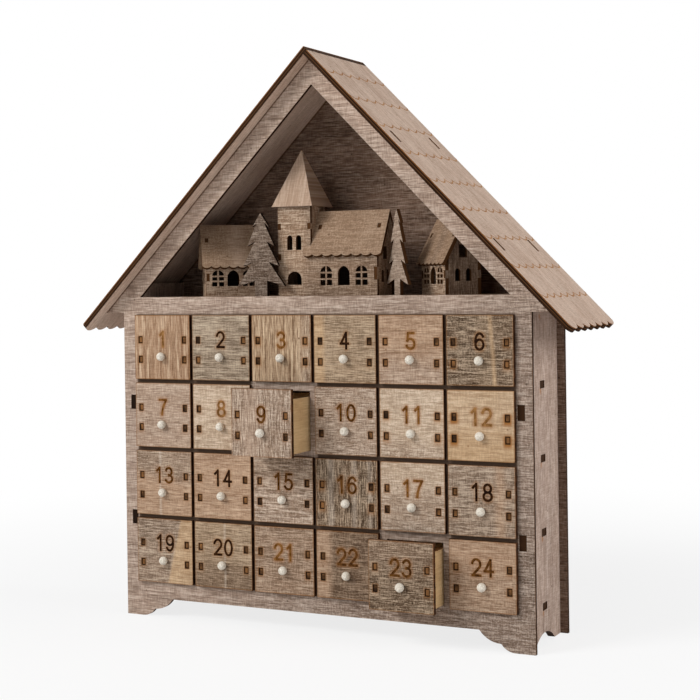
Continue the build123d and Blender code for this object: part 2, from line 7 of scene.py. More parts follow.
# %% Load the frame
import math

import bmesh
import bpy
import numpy as np
from mathutils import Matrix, Vector


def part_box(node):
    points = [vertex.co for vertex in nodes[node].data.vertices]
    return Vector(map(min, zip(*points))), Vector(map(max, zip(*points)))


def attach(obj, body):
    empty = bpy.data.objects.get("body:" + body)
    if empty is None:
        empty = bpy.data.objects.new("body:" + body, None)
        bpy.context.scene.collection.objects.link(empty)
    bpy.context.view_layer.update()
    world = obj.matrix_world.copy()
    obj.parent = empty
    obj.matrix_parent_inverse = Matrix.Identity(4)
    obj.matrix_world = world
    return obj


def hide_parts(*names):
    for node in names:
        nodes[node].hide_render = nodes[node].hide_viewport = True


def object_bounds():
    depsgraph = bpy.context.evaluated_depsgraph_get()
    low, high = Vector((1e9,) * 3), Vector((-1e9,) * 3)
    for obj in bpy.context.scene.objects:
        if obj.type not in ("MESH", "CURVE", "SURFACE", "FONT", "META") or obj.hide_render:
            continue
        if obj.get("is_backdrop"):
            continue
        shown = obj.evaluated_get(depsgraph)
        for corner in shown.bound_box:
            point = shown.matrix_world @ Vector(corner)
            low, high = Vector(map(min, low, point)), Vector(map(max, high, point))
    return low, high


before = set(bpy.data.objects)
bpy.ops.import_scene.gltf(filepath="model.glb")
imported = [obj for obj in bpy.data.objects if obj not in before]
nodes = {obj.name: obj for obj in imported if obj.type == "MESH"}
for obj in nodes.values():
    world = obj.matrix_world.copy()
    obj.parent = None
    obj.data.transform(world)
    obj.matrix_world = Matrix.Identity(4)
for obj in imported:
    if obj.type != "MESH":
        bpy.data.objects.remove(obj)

MM = 0.001
X, Y, Z = (1, 0, 0), (0, 1, 0), (0, 0, 1)
cad_low, cad_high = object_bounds()
front_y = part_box("front_panel")[0].y
print("CAD box in mm:", [round(v / MM, 1) for v in (*cad_low, *cad_high)])

# %% [markdown]
# ## Camera
# The photograph was taken from the right, almost level, with a long lens whose middle lies
# above the middle of the picture. Angles and place were worked out from the drawer grid, so
# the camera gets its axes as a matrix and a small shift instead of a target to look at.

# %% Camera
def stand(name, data):
    """Put a mesh, a lens or a lamp in the scene as an object."""
    made = bpy.data.objects.new(name, data)
    bpy.context.scene.collection.objects.link(made)
    return made


camera_turn = math.radians(26.382)
camera_rise = math.radians(0.099)
camera_roll = math.radians(-0.772)
camera_place = Vector((0.4924, front_y - 0.9382, 0.2493))

back = Vector((
    math.sin(camera_turn) * math.cos(camera_rise),
    -math.cos(camera_turn) * math.cos(camera_rise),
    math.sin(camera_rise),
))
level_right = Vector((math.cos(camera_turn), math.sin(camera_turn), 0))
level_up = back.cross(level_right)
right = level_right * math.cos(camera_roll) + level_up * math.sin(camera_roll)
up = level_up * math.cos(camera_roll) - level_right * math.sin(camera_roll)

lens = bpy.data.cameras.new("camera")
lens.sensor_width = 36
lens.lens = 77.71
lens.shift_x = 0.0026
lens.shift_y = -0.1005
camera = stand("camera", lens)
camera.matrix_world = Matrix.Translation(camera_place) @ Matrix((right, up, back)).transposed().to_4x4()
bpy.context.scene.camera = camera
print("camera at", [round(v, 3) for v in camera_place])

# %% [markdown]
# ## Helpers for node trees
# A shader or geometry tree is a list of nodes and links. One helper adds a node, sets its
# options and fills or links its inputs, so that each effect below reads as a short recipe.

# %% Node helpers
def put(tree, kind, inputs=None, **options):
    """Add a node, set its options, then fill its inputs with values or links."""
    made = tree.nodes.new(kind)
    for option, value in options.items():
        setattr(made, option, value)
    for key, value in (inputs or {}).items():
        if isinstance(value, bpy.types.NodeSocket):
            tree.links.new(value, made.inputs[key])
        else:
            made.inputs[key].default_value = value
    return made


def group_node(tree, group, inputs):
    return put(tree, "ShaderNodeGroup", inputs, node_tree=group).outputs


def maths(tree, operation, a, b=0.0, clamp=False):
    return put(tree, "ShaderNodeMath", {0: a, 1: b}, operation=operation, use_clamp=clamp).outputs[0]


def plus(tree, a, b):
    return maths(tree, "ADD", a, b)


def minus(tree, a, b):
    return maths(tree, "SUBTRACT", a, b)


def times(tree, a, b):
    return maths(tree, "MULTIPLY", a, b)


def hypotenuse(tree, a, b):
    return maths(tree, "SQRT", plus(tree, times(tree, a, a), times(tree, b, b)))


def vectors(tree, operation, a, b=(0, 0, 0), output="Vector"):
    return put(tree, "ShaderNodeVectorMath", {0: a, 1: b}, operation=operation).outputs[output]


def reach(tree, place, direction):
    """How far a place or a normal reaches in a direction."""
    return vectors(tree, "DOT_PRODUCT", place, direction, "Value")


def on_piece(tree):
    """The place on the piece, in Object coordinates."""
    return put(tree, "ShaderNodeTexCoord").outputs["Object"]


def mix(tree, factor, a, b):
    """Mix two colours, which are inputs 6 and 7 of the Mix node."""
    return put(tree, "ShaderNodeMix", {0: factor, 6: a, 7: b}, data_type="RGBA").outputs[2]


def ease(tree, value, low, high):
    """A soft step from 0 at low to 1 at high, which may also run downwards."""
    return put(tree, "ShaderNodeMapRange", {"Value": value, "From Min": low, "From Max": high},
               interpolation_type="SMOOTHSTEP").outputs[0]


def noise(tree, place, stretch, detail=2.0, roughness=0.5, distortion=0.0):
    """Noise on a place that is stretched along the grain."""
    spread = vectors(tree, "MULTIPLY", place, stretch)
    return put(tree, "ShaderNodeTexNoise", {"Vector": spread, "Scale": 1.0, "Detail": detail,
                                            "Roughness": roughness, "Distortion": distortion}).outputs[0]


def new_group(name, inputs, outputs, kind="ShaderNodeTree"):
    """An empty node group with named sockets."""
    tree = bpy.data.node_groups.new(name, kind)
    for title, socket_kind, value in inputs:
        socket = tree.interface.new_socket(title, in_out="INPUT", socket_type="NodeSocket" + socket_kind)
        if value is not None:
            socket.default_value = value
    for title, socket_kind in outputs:
        tree.interface.new_socket(title, in_out="OUTPUT", socket_type="NodeSocket" + socket_kind)
    return tree, tree.nodes.new("NodeGroupInput").outputs, tree.nodes.new("NodeGroupOutput").inputs


def grey(value):
    return (value, value, value, 1.0)


def paint(r, g, b):
    """A colour as a paint program shows it, 0 to 255, made linear for the shader."""
    return (*(((v / 255 + 0.055) / 1.055) ** 2.4 for v in (r, g, b)), 1.0)


print("node helpers ready")

# %% [markdown]
# ## Finish 1: where the grain runs
# Plywood grain is one direction per sheet. This group turns Object coordinates into a place on
# the sheet: along the grain, across it, and a seed in the third slot so that no two sheets
# repeat each other.

# %% Sheet place group
sheet_place, given, result = new_group(
    "sheet_place", [("Grain", "Vector", X), ("Across", "Vector", Z), ("Seed", "Float", 0.0)],
    [("Place", "Vector")])
g = sheet_place
spot = on_piece(g)
place = put(g, "ShaderNodeCombineXYZ", {
    0: reach(g, spot, given["Grain"]), 1: reach(g, spot, given["Across"]), 2: given["Seed"]})
g.links.new(place.outputs[0], result["Place"])
print("group:", g.name)

# %% [markdown]
# ## Finish 2: limed wood
# The sheets are stained grey-brown, then wiped with thin white. The white stays in the pores
# and saw marks, so the surface looks woven: streaks along the grain, pale and dark dashes, fine
# scratches across, and a pin knot here and there. Each is one stretched pattern, and the group
# lays them over the wood one after another, in its shade or its lime.

# %% Limed wood group
limed_wood, given, result = new_group(
    "limed_wood",
    [("Place", "Vector", None), ("Wood", "Color", grey(0.4)), ("Shade", "Color", grey(0.1)),
     ("Lime", "Color", grey(0.7)), ("Streaks", "Float", 0.5), ("Liming", "Float", 0.5),
     ("Weave", "Float", 0.4), ("Dashes", "Float", 0.2), ("Specks", "Float", 0.1)],
    [("Color", "Color"), ("Roughness", "Float"), ("Height", "Float")])
g = limed_wood
where = given["Place"]
tone = noise(g, where, (16, 60, 1))
patch = noise(g, where, (45, 90, 1), detail=3, roughness=0.6)
streak = noise(g, where, (30, 700, 1), detail=3, roughness=0.6, distortion=0.3)
pore = noise(g, where, (120, 1500, 1))
scratch = noise(g, where, (1500, 170, 1))
speck = noise(g, where, (800, 1100, 1), roughness=0.6)
cells = put(g, "ShaderNodeTexVoronoi", {"Vector": where, "Scale": 24.0}, voronoi_dimensions="2D")
knot = cells.outputs["Distance"]
weave = plus(g, times(g, pore, 0.5), times(g, scratch, 0.5))
wiped = plus(g, weave, times(g, patch, 0.5))

color = given["Wood"]
masks = []
for pattern, start, full, amount, stain in (
        (tone, 0.35, 0.7, 0.35, "Shade"),
        (streak, 0.5, 0.7, given["Streaks"], "Shade"),
        (streak, 0.47, 0.32, given["Streaks"], "Lime"),
        (wiped, 0.68, 0.9, given["Liming"], "Lime"),
        (pore, 0.52, 0.66, given["Dashes"], "Lime"),
        (pore, 0.48, 0.34, given["Dashes"], "Shade"),
        (speck, 0.53, 0.66, given["Specks"], "Lime"),
        (speck, 0.47, 0.34, given["Specks"], "Shade"),
        (knot, 0.022, 0.012, 0.7, "Shade")):
    masks.append(times(g, ease(g, pattern, start, full), amount))
    color = mix(g, masks[-1], color, given[stain])
dark_streak, white = masks[1], masks[3]
strength = plus(g, times(g, minus(g, weave, 0.5), given["Weave"]), 1.0)
woven = put(g, "ShaderNodeVectorMath", {0: color, "Scale": strength}, operation="SCALE").outputs[0]
g.links.new(woven, result["Color"])
g.links.new(plus(g, times(g, white, 0.2), 0.62), result["Roughness"])
g.links.new(minus(g, weave, times(g, dark_streak, 0.5)), result["Height"])
print("group:", g.name, "with", len(g.nodes), "nodes")

# %% [markdown]
# ## Finish 3: burnt edges
# A laser leaves the cut edge of a sheet almost black, with the glued layers showing as brown
# lines. An edge is any face that doesn't look along the sheet's own direction, so the group
# compares the normal with that direction, and takes the layers from the depth in the sheet.

# %% Burnt edge group
burnt_edge, given, result = new_group(
    "burnt_edge",
    [("Color", "Color", grey(0.4)), ("Face A", "Vector", Y), ("Face B", "Vector", Y),
     ("Outer", "Float", 0.0), ("Thickness", "Float", 0.003), ("Char", "Color", paint(30, 20, 14)),
     ("Ember", "Color", paint(134, 86, 46)), ("Layers", "Float", 0.6)],
    [("Color", "Color")])
g = burnt_edge
coords = put(g, "ShaderNodeTexCoord").outputs
facing = [maths(g, "ABSOLUTE", reach(g, coords["Normal"], given[side])) for side in ("Face A", "Face B")]
flat_facing = 0.93
edge = maths(g, "LESS_THAN", maths(g, "MAXIMUM", *facing), flat_facing)
height = reach(g, coords["Object"], given["Face A"])
depth = maths(g, "DIVIDE", minus(g, given["Outer"], height), given["Thickness"])
ply = put(g, "ShaderNodeValToRGB", {0: depth})
ply.color_ramp.elements[0].color = grey(1.0)
ply.color_ramp.elements[1].color = grey(0.1)
for position, value in ((0.14, 0.8), (0.24, 0.0), (0.46, 0.05), (0.54, 0.6), (0.62, 0.05)):
    ply.color_ramp.elements.new(position).color = grey(value)
smoke = noise(g, coords["Object"], (140, 140, 140), detail=3)
smoked = plus(g, ply.outputs[0], times(g, minus(g, smoke, 0.5), 0.15))
glow = maths(g, "MULTIPLY", smoked, given["Layers"], clamp=True)
g.links.new(mix(g, edge, given["Color"], mix(g, glow, given["Char"], given["Ember"])), result["Color"])
print("group:", g.name)

# %% [markdown]
# ## Finish 4: bands
# Some boards were sawn where pale sapwood meets dark heartwood, and old stain lies thicker in
# places. A band is a soft stripe at right angles to a direction, with a slightly wandering edge.

# %% Band group
band, given, result = new_group(
    "band",
    [("Color", "Color", grey(0.4)), ("Band", "Color", grey(0.7)), ("Direction", "Vector", X),
     ("Middle", "Float", 0.0), ("Half Width", "Float", 0.003), ("Softness", "Float", 0.001),
     ("Amount", "Float", 0.8)],
    [("Color", "Color")])
g = band
spot = on_piece(g)
wobble = times(g, minus(g, noise(g, spot, (90, 90, 90), detail=3), 0.5), given["Softness"])
across = plus(g, reach(g, spot, given["Direction"]), wobble)
away = maths(g, "ABSOLUTE", minus(g, across, given["Middle"]))
inside = maths(g, "DIVIDE", minus(g, given["Half Width"], away), given["Softness"])
share = times(g, ease(g, inside, -1.0, 1.0), given["Amount"])
g.links.new(mix(g, share, given["Color"], given["Band"]), result["Color"])
print("group:", g.name)

# %% [markdown]
# ## Finish 5: smoke drips
# Below each shelf tenon the laser left a small orange smudge on the side wall. The shelves are
# evenly spaced, so the group folds the height into one repeat and paints one soft oval.

# %% Drip group
drips, given, result = new_group(
    "drips",
    [("Color", "Color", grey(0.4)), ("Smoke", "Color", paint(158, 106, 62)), ("Depth", "Float", 0.0),
     ("Level", "Float", 0.0), ("Repeat", "Float", 0.05), ("Size", "Float", 0.004), ("Amount", "Float", 0.7)],
    [("Color", "Color")])
g = drips
spot = on_piece(g)
axes = put(g, "ShaderNodeSeparateXYZ", {0: spot}).outputs
turns = plus(g, maths(g, "DIVIDE", minus(g, axes["Z"], given["Level"]), given["Repeat"]), 0.5)
rise = times(g, minus(g, maths(g, "FRACT", turns), 0.5), given["Repeat"])
aside = times(g, minus(g, axes["Y"], given["Depth"]), 1.4)
far = maths(g, "DIVIDE", hypotenuse(g, rise, aside), given["Size"])
ragged = plus(g, far, times(g, noise(g, spot, (400, 400, 400)), 0.8))
share = times(g, ease(g, ragged, 1.3, 0.5), given["Amount"])
g.links.new(mix(g, share, given["Color"], given["Smoke"]), result["Color"])
print("group:", g.name)

# %% [markdown]
# ## Finish 6: painted shade between the drawers
# Between the drawer openings the front panel is cut to narrow strips. In the gaps between the drawer
# fronts they lie in shade, and this group paints that shade into their colour. They all lie in one
# rectangle, so a soft box mask is enough. Round two openings whose drawers stand open the strips are
# lit, so there the painted shade is taken away again.

# %% Painted strip shade group
# The Smoke colour of this group is the colour of the painted shade.
browned_strips, given, result = new_group(
    "browned_strips",
    [("Color", "Color", grey(0.4)), ("Smoke", "Color", paint(84, 66, 53)), ("Middle", "Vector", (0, 0, 0)),
     ("Half", "Vector", (0.15, 1, 0.1)), ("Amount", "Float", 0.95), ("Lit A", "Vector", (0, 0, 0)),
     ("Lit B", "Vector", (0, 0, 0)), ("Lit Half", "Vector", (0.025, 1, 0.025)),
     ("Lit Amount", "Float", 0.95)],
    [("Color", "Color")])
g = browned_strips
spot = on_piece(g)


def box_mask(tree, middle, half):
    """A soft mask that is 1 inside a box seen from the front."""
    away = vectors(tree, "ABSOLUTE", vectors(tree, "SUBTRACT", spot, middle))
    past = put(tree, "ShaderNodeSeparateXYZ", {0: vectors(tree, "SUBTRACT", away, half)}).outputs
    return ease(tree, maths(tree, "MAXIMUM", past["X"], past["Z"]), 0.8 * MM, -0.6 * MM)


# Painted shade: the strips darken inside the box, less round the two open drawers.
lit_openings = [box_mask(g, given[opening], given["Lit Half"]) for opening in ("Lit A", "Lit B")]
kept = minus(g, 1.0, times(g, maths(g, "MAXIMUM", *lit_openings), given["Lit Amount"]))
brown = times(g, times(g, box_mask(g, given["Middle"], given["Half"]), kept), given["Amount"])
g.links.new(mix(g, brown, given["Color"], given["Smoke"]), result["Color"])
print("group:", g.name)

# %% [markdown]
# ## Woods
# One plywood takes many looks, by the log it was peeled from and the stain it got. A wood here is
# its three colours and how strong each pattern of the liming is, named for where it is used.

# %% Woods of the sheets
def board_wood(wood, shade, lime, streaks, liming, weave, dashes, specks):
    return dict(Wood=paint(*wood), Shade=paint(*shade), Lime=paint(*lime), Streaks=streaks, Liming=liming,
                Weave=weave, Dashes=dashes, Specks=specks)


woods = {
    "front": board_wood((166, 143, 127), (98, 78, 64), (206, 188, 173), 0.4, 0.35, 1.0, 0.3, 0.1),
    "foot": board_wood((128, 107, 92), (60, 47, 39), (192, 177, 164), 0.3, 0.3, 1.2, 0.35, 0.4),
    "side": board_wood((176, 152, 137), (116, 93, 80), (208, 190, 178), 0.4, 0.3, 0.9, 0.3, 0.1),
    "back": board_wood((118, 93, 77), (54, 40, 31), (160, 140, 125), 0.55, 0.25, 1.2, 0.4, 0.1),
    "roof": board_wood((208, 181, 162), (158, 128, 108), (224, 205, 189), 0.5, 0.3, 0.7, 0.3, 0.1),
    "inner": board_wood((132, 106, 85), (80, 60, 45), (166, 146, 126), 0.4, 0.2, 0.8, 0.2, 0.1),
    "village": board_wood((154, 125, 101), (94, 70, 53), (208, 188, 166), 0.2, 0.35, 1.2, 0.3, 0.3),
    "thatch": board_wood((146, 119, 96), (99, 75, 56), (188, 165, 142), 0.15, 0.2, 0.7, 0.15, 0.3),
    "brown wall": board_wood((116, 94, 77), (68, 51, 41), (162, 141, 122), 0.2, 0.25, 1.2, 0.35, 0.3),
    # Painted shade: a near-black wood for the village's back walls, which stand in shade at the back of the
    # niche.
    "soot": board_wood((40, 31, 25), (22, 17, 14), (58, 47, 40), 0.2, 0.2, 0.8, 0.2, 0.1),
    "scorched": board_wood((88, 61, 42), (46, 32, 23), (122, 88, 60), 0.2, 0.2, 0.8, 0.3, 0.2),
    "spire": board_wood((178, 152, 131), (146, 115, 92), (204, 182, 162), 0.5, 0.25, 0.5, 0.2, 0.05),
    "tree": board_wood((97, 79, 66), (62, 47, 37), (172, 156, 141), 0.2, 0.3, 1.2, 0.4, 0.35),
    "pale tree": board_wood((148, 127, 110), (90, 71, 57), (196, 180, 164), 0.2, 0.3, 1.0, 0.3, 0.25),
    "tray": board_wood((208, 175, 130), (164, 124, 82), (220, 192, 150), 0.3, 0.1, 0.4, 0.1, 0.03),
}
print(len(woods), "woods for the sheets")

# %% [markdown]
# ## One recipe for every sheet
# A sheet material is the groups above in a row, with its own colours and directions, and a
# Principled BSDF with a little bump at the end. Raw wood has almost no gloss, so its specular
# level is low on every material.

# %% Sheet materials
wood_gloss = 0.03
relief_depth = 0.3 * MM
panel, roof_sheet = 3 * MM, 4 * MM


def new_material(name, gloss=wood_gloss):
    """A material with its node tree and its shader."""
    material = bpy.data.materials.new(name)
    material.use_nodes = True
    shader = material.node_tree.nodes["Principled BSDF"]
    shader.inputs["Specular IOR Level"].default_value = gloss
    return material, material.node_tree, shader


def stripe(wood, direction, middle, half_width, softness, amount):
    """A band of another wood, measured in metres along a direction."""
    return wood, {"Direction": direction, "Middle": middle, "Half Width": half_width,
                  "Softness": softness, "Amount": amount}


def limed_board(tree, wood, grain, across, seed, stripes):
    """Limed wood, and its colour with the stripes laid over it."""
    where = group_node(tree, sheet_place, {"Grain": grain, "Across": across, "Seed": seed})["Place"]
    limed = group_node(tree, limed_wood, {"Place": where, **woods[wood]})
    color = limed["Color"]
    for other, sizes in stripes:
        second = group_node(tree, limed_wood, {"Place": where, **woods[other]})["Color"]
        color = group_node(tree, band, {"Color": color, "Band": second, **sizes})["Color"]
    return limed, color


def link_wood(tree, shader, limed, color, relief):
    """Link the colour, the roughness and the relief of a board to its shader."""
    bump = put(tree, "ShaderNodeBump", {
        "Strength": relief, "Distance": relief_depth, "Height": limed["Height"]}).outputs[0]
    for socket, source in (("Base Color", color), ("Roughness", limed["Roughness"]), ("Normal", bump)):
        tree.links.new(source, shader.inputs[socket])


def sheet_material(name, wood, grain, across, face_a, face_b=None, outer=0.0, thickness=panel, layers=0.6,
                   seed=0.0, stripes=(), drip=None, browned=None):
    """Limed plywood with burnt edges, for a sheet that faces along face_a (and face_b)."""
    material, tree, shader = new_material(name)
    limed, color = limed_board(tree, wood, grain, across, seed, stripes)
    if browned:
        color = group_node(tree, browned_strips, {"Color": color, **browned})["Color"]
    if drip:
        color = group_node(tree, drips, {"Color": color, **drip})["Color"]
    edges = group_node(tree, burnt_edge, {"Color": color, "Face A": face_a, "Face B": face_b or face_a,
                                          "Outer": outer, "Thickness": thickness, "Layers": layers})
    link_wood(tree, shader, limed, edges["Color"], relief=0.25)
    return material


def dress(node, *recipe, **details):
    """Give a node of the frame a sheet material of its own."""
    material = sheet_material(node + "_ply", *recipe, **details)
    nodes[node].data.materials.clear()
    nodes[node].data.materials.append(material)


print("sheet recipe ready")

# %% [markdown]
# ## The case
# Front and back panels lie across the view with level grain, the sides have upright grain, and
# the shelves and dividers are plain inside sheets. The front panel is darker to the right and at
# the foot, its strips between the drawers carry painted shade, and both panels are scorched under
# the roof, where their slopes were cut.

# %% Case materials
roof_pitch = math.radians(45.5)
ridge = cad_high.z


def slope_ways(side):
    """The directions out of and down the left (-1) or right (1) slope of the roof."""
    outward = Vector((side * math.sin(roof_pitch), 0, math.cos(roof_pitch)))
    down = Vector((side * math.cos(roof_pitch), 0, -math.sin(roof_pitch)))
    return outward, down


def gable_scorch(half_width):
    """The burnt lines where a panel's two sloping edges were cut, just under the roof."""
    under_roof = roof_sheet + 0.3 * MM
    ways = [slope_ways(side)[0] for side in (-1, 1)]
    return [stripe("scorched", way, ridge * way.z - under_roof, half_width, 0.5 * MM, 0.85) for way in ways]


# The front panel is darker to the right and at the foot: two stripes of the foot wood.
darker_right_and_foot = [stripe("foot", X, 0.2, 0.07, 0.04, 0.7), stripe("foot", (0.25, 0, -1), 0.02, 0.05, 0.012, 0.7)]
# The strips between the drawer fronts get painted shade, lifted round the open drawers 9 and 23.
first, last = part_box("drawer_01"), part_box("drawer_24")
lit_half = 26.3 * MM
between = {"Middle": (0, 0, (last[0].z + first[1].z) / 2),
           "Half": (last[1].x + 0.3 * MM, 1, (first[1].z - last[0].z) / 2 + 0.5 * MM),
           "Lit Half": (lit_half, 1, lit_half)}
for opening, drawer in (("Lit A", "drawer_09"), ("Lit B", "drawer_23")):
    low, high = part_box(drawer)
    between[opening] = (low + high) / 2
dress("front_panel", "front", X, Z, (0, -1, 0), outer=-front_y, seed=1.3,
      stripes=darker_right_and_foot + gable_scorch(0.7 * MM), browned=between)
dress("back_panel", "back", X, Z, Y, outer=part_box("back_panel")[1].y, seed=4.1,
      stripes=gable_scorch(1.0 * MM))
shelf_low, shelf_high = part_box("bottom_shelf")
below_tenon = {"Depth": (shelf_low.y + shelf_high.y) / 2 - 3.5 * MM, "Level": shelf_low.z - 1.5 * MM}
for name, seed in (("left_side", 2.2), ("right_side", 7.7)):
    dress(name, "side", Z, Y, X, layers=0.1, seed=seed, drip=below_tenon)
for index, name in enumerate(("bottom_shelf", "lower_shelf", "middle_shelf", "upper_shelf", "village_floor")):
    dress(name, "inner", X, Y, Z, layers=0.12, seed=index * 2.3)
for index in range(1, 6):
    dress(f"column_divider_{index}", "inner", Y, Z, X, layers=0.12, seed=index * 1.7)
print("case sheets dressed")

# %% [markdown]
# ## The roof
# Two sheets at 45.5 degrees, with grain running down the slope. Their front edges show the layers
# of the plywood best: a scorched top line, then dark, a pale middle line, and dark again.

# %% Roof materials
for name, side in (("left_roof", -1), ("right_roof", 1)):
    outward, down = slope_ways(side)
    dress(name, "roof", down, Y, outward, outer=ridge * outward.z, thickness=roof_sheet, layers=0.9,
          seed=3.0 + side)
print("roof sheets dressed, ridge at", round(ridge / MM, 1), "mm")

# %% [markdown]
# ## The village
# The church stands square to the case and the cottages are turned, so each wall gets the
# direction it faces. The two slopes of a small roof share one material with two directions. The
# edges of such small sheets are burnt to one brown, so they get a thickness that shows no layers.
# The spire's sheets lean in, so its level directions are made a little longer to count as facing.

# %% Village materials
village_pitch = 62
no_layers = 10.0
even_brown = dict(thickness=no_layers, layers=0.25)
spire_lean = 1.05


def heading(turn):
    return (math.cos(math.radians(turn)), math.sin(math.radians(turn)), 0)


def slopes(turn, pitch):
    """The two directions that the sheets of a small gabled roof face."""
    sideways = heading(turn + 90)
    s, c = math.sin(math.radians(pitch)), math.cos(math.radians(pitch))
    return (sideways[0] * s, sideways[1] * s, c), (-sideways[0] * s, -sideways[1] * s, c)


def nave_shade():
    """The nave's part of the church front is a browner board than the tower's, and darker as painted shade
    from the sill in front of its low wall.
    """
    low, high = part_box("nave_roof_front")
    return [stripe("brown wall", X, (low.x + high.x) / 2, (high.x - low.x) / 2, 4 * MM, 0.5)]


def roof_patch(name, along, wood):
    """A patch of another wood across a small roof: painted light on the left cottage, a greyer board on the
    right.
    """
    low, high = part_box(name)
    return [stripe(wood, along, (low + high).dot(Vector(along)) / 2 + 3 * MM, 5 * MM, 5 * MM, 0.5)]


dress("church_front_wall", "village", X, Z, Y, seed=6.3, stripes=nave_shade(), **even_brown)
# The church's back wall gets the near-black wood as painted shade.
dress("church_back_wall", "soot", X, Z, Y, seed=5.9, **even_brown)
for name in ("tower_left_wall", "tower_right_wall", "nave_gables"):
    dress(name, "village", Z, Y, X, seed=len(name) * 0.53, **even_brown)
for name in ("nave_roof_front", "nave_roof_back"):
    dress(name, "thatch", X, Z, *slopes(0, village_pitch), seed=len(name) * 0.71, **even_brown)
# The left cottage's roof gets a paler patch, a painted streak of the light that falls on it through the
# gable; the right cottage's roof gets a greyer one, the tone of its board.
for name, turn, gable, shade in (("left_cottage", 38, "village", "spire"),
                                 ("right_cottage", -43, "brown wall", "brown wall")):
    along, square = heading(turn), heading(turn + 90)
    light_and_tone_patch = roof_patch(name + "_roof", along, shade)
    # The cottages' back walls take the near-black wood too, as painted shade.
    for part, wood, grain, across, faces, patch in (
            ("front_wall", "village", along, Z, [square], ()),
            ("back_wall", "soot", along, Z, [square], ()),
            ("gables", gable, Z, square, [along], ()),
            ("roof", "thatch", along, Z, slopes(turn, village_pitch), light_and_tone_patch)):
        dress(f"{name}_{part}", wood, grain, across, *faces, seed=turn * 0.11, stripes=patch, **even_brown)
dress("tower_spire", "spire", Z, X, (0, spire_lean, 0), (spire_lean, 0, 0), layers=0.9, seed=5.5)
for name, turn, wood in (("left_tree", 0, "tree"), ("right_tree", -43, "pale tree")):
    dress(name, wood, heading(turn), Z, heading(turn + 90), layers=0.2, seed=8 + turn * 0.1)
print("village sheets dressed")

# %% [markdown]
# ## Drawer sizes
# All drawers are one design: a front board with four slots, two side boards whose tenons fill
# those slots, a back, a bottom and a bead. The sizes below are in millimetres from the bottom
# middle of the front's face, with y running back into the case.

# %% Drawer sizes
front_width, front_height, board = 47.6, 47.2, 3.0
tray_half, tray_low, tray_high, tray_back = 20.5, 1.9, 39.9, 65.1
tenon_levels, tenon_height, tenon_recess, slot_room = (14.5, 29.0), 4.6, 0.5, 0.1
finger_low, finger_high = 14.9, 26.9
knob_level, knob_diameter, knob_length = 16.8, 6.2, 5.4
number_level, number_height = 29.5, 12.4
slots = [(side * (tray_half - board / 2), level) for side in (-1, 1) for level in tenon_levels]
slot_half = (board / 2 + slot_room, tenon_height / 2 + slot_room)


def drawer_name(number):
    return f"drawer_{number:02d}"


def drawer_place(number):
    """The bottom middle of a drawer front's face, in metres."""
    low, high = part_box(drawer_name(number))
    return Vector(((low.x + high.x) / 2, low.y + knob_length * MM, low.z))


def settle(mesh, number):
    """Move a mesh from drawer millimetres to its place in metres."""
    mesh.transform(Matrix.Translation(drawer_place(number)) @ Matrix.Scale(MM, 4))
    return mesh


def piece(name, mesh, body):
    """Make a mesh a finished piece that rides on a body of the frame."""
    made = stand(name, mesh)
    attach(made, body)
    return made


print("drawer 1 stands at", [round(v / MM, 1) for v in drawer_place(1)], "mm")

# %% [markdown]
# ## Finish 7: scorch round cuts and numbers
# The laser's smoke leaves a brown halo round every cut and every burnt number. A shader can't
# measure the distance to a digit, so the front's mesh stores it on its vertices, and this group
# only turns the two stored values into colour.

# %% Scorch group
scorch, given, result = new_group(
    "scorch",
    [("Color", "Color", grey(0.4)), ("Smoke", "Color", paint(150, 101, 56)),
     ("Char", "Color", paint(40, 26, 16)), ("Halo", "Float", 0.5), ("Cut", "Float", 0.9)],
    [("Color", "Color")])
g = scorch
halo = put(g, "ShaderNodeAttribute", attribute_name="number_halo").outputs["Fac"]
cut = put(g, "ShaderNodeAttribute", attribute_name="cut_halo").outputs["Fac"]
color = given["Color"]
for haze in (halo, ease(g, cut, 0.0, 0.75)):
    color = mix(g, maths(g, "MULTIPLY", haze, given["Halo"], clamp=True), color, given["Smoke"])
color = mix(g, times(g, ease(g, cut, 0.45, 1.0), given["Cut"]), color, given["Char"])
g.links.new(color, result["Color"])
print("group:", g.name)

# %% [markdown]
# ## Drawer woods
# The fronts come from many offcuts, so no two match. Fourteen named woods, from chalky white to
# dark grey, give the colours that a maker would sort the offcuts by.

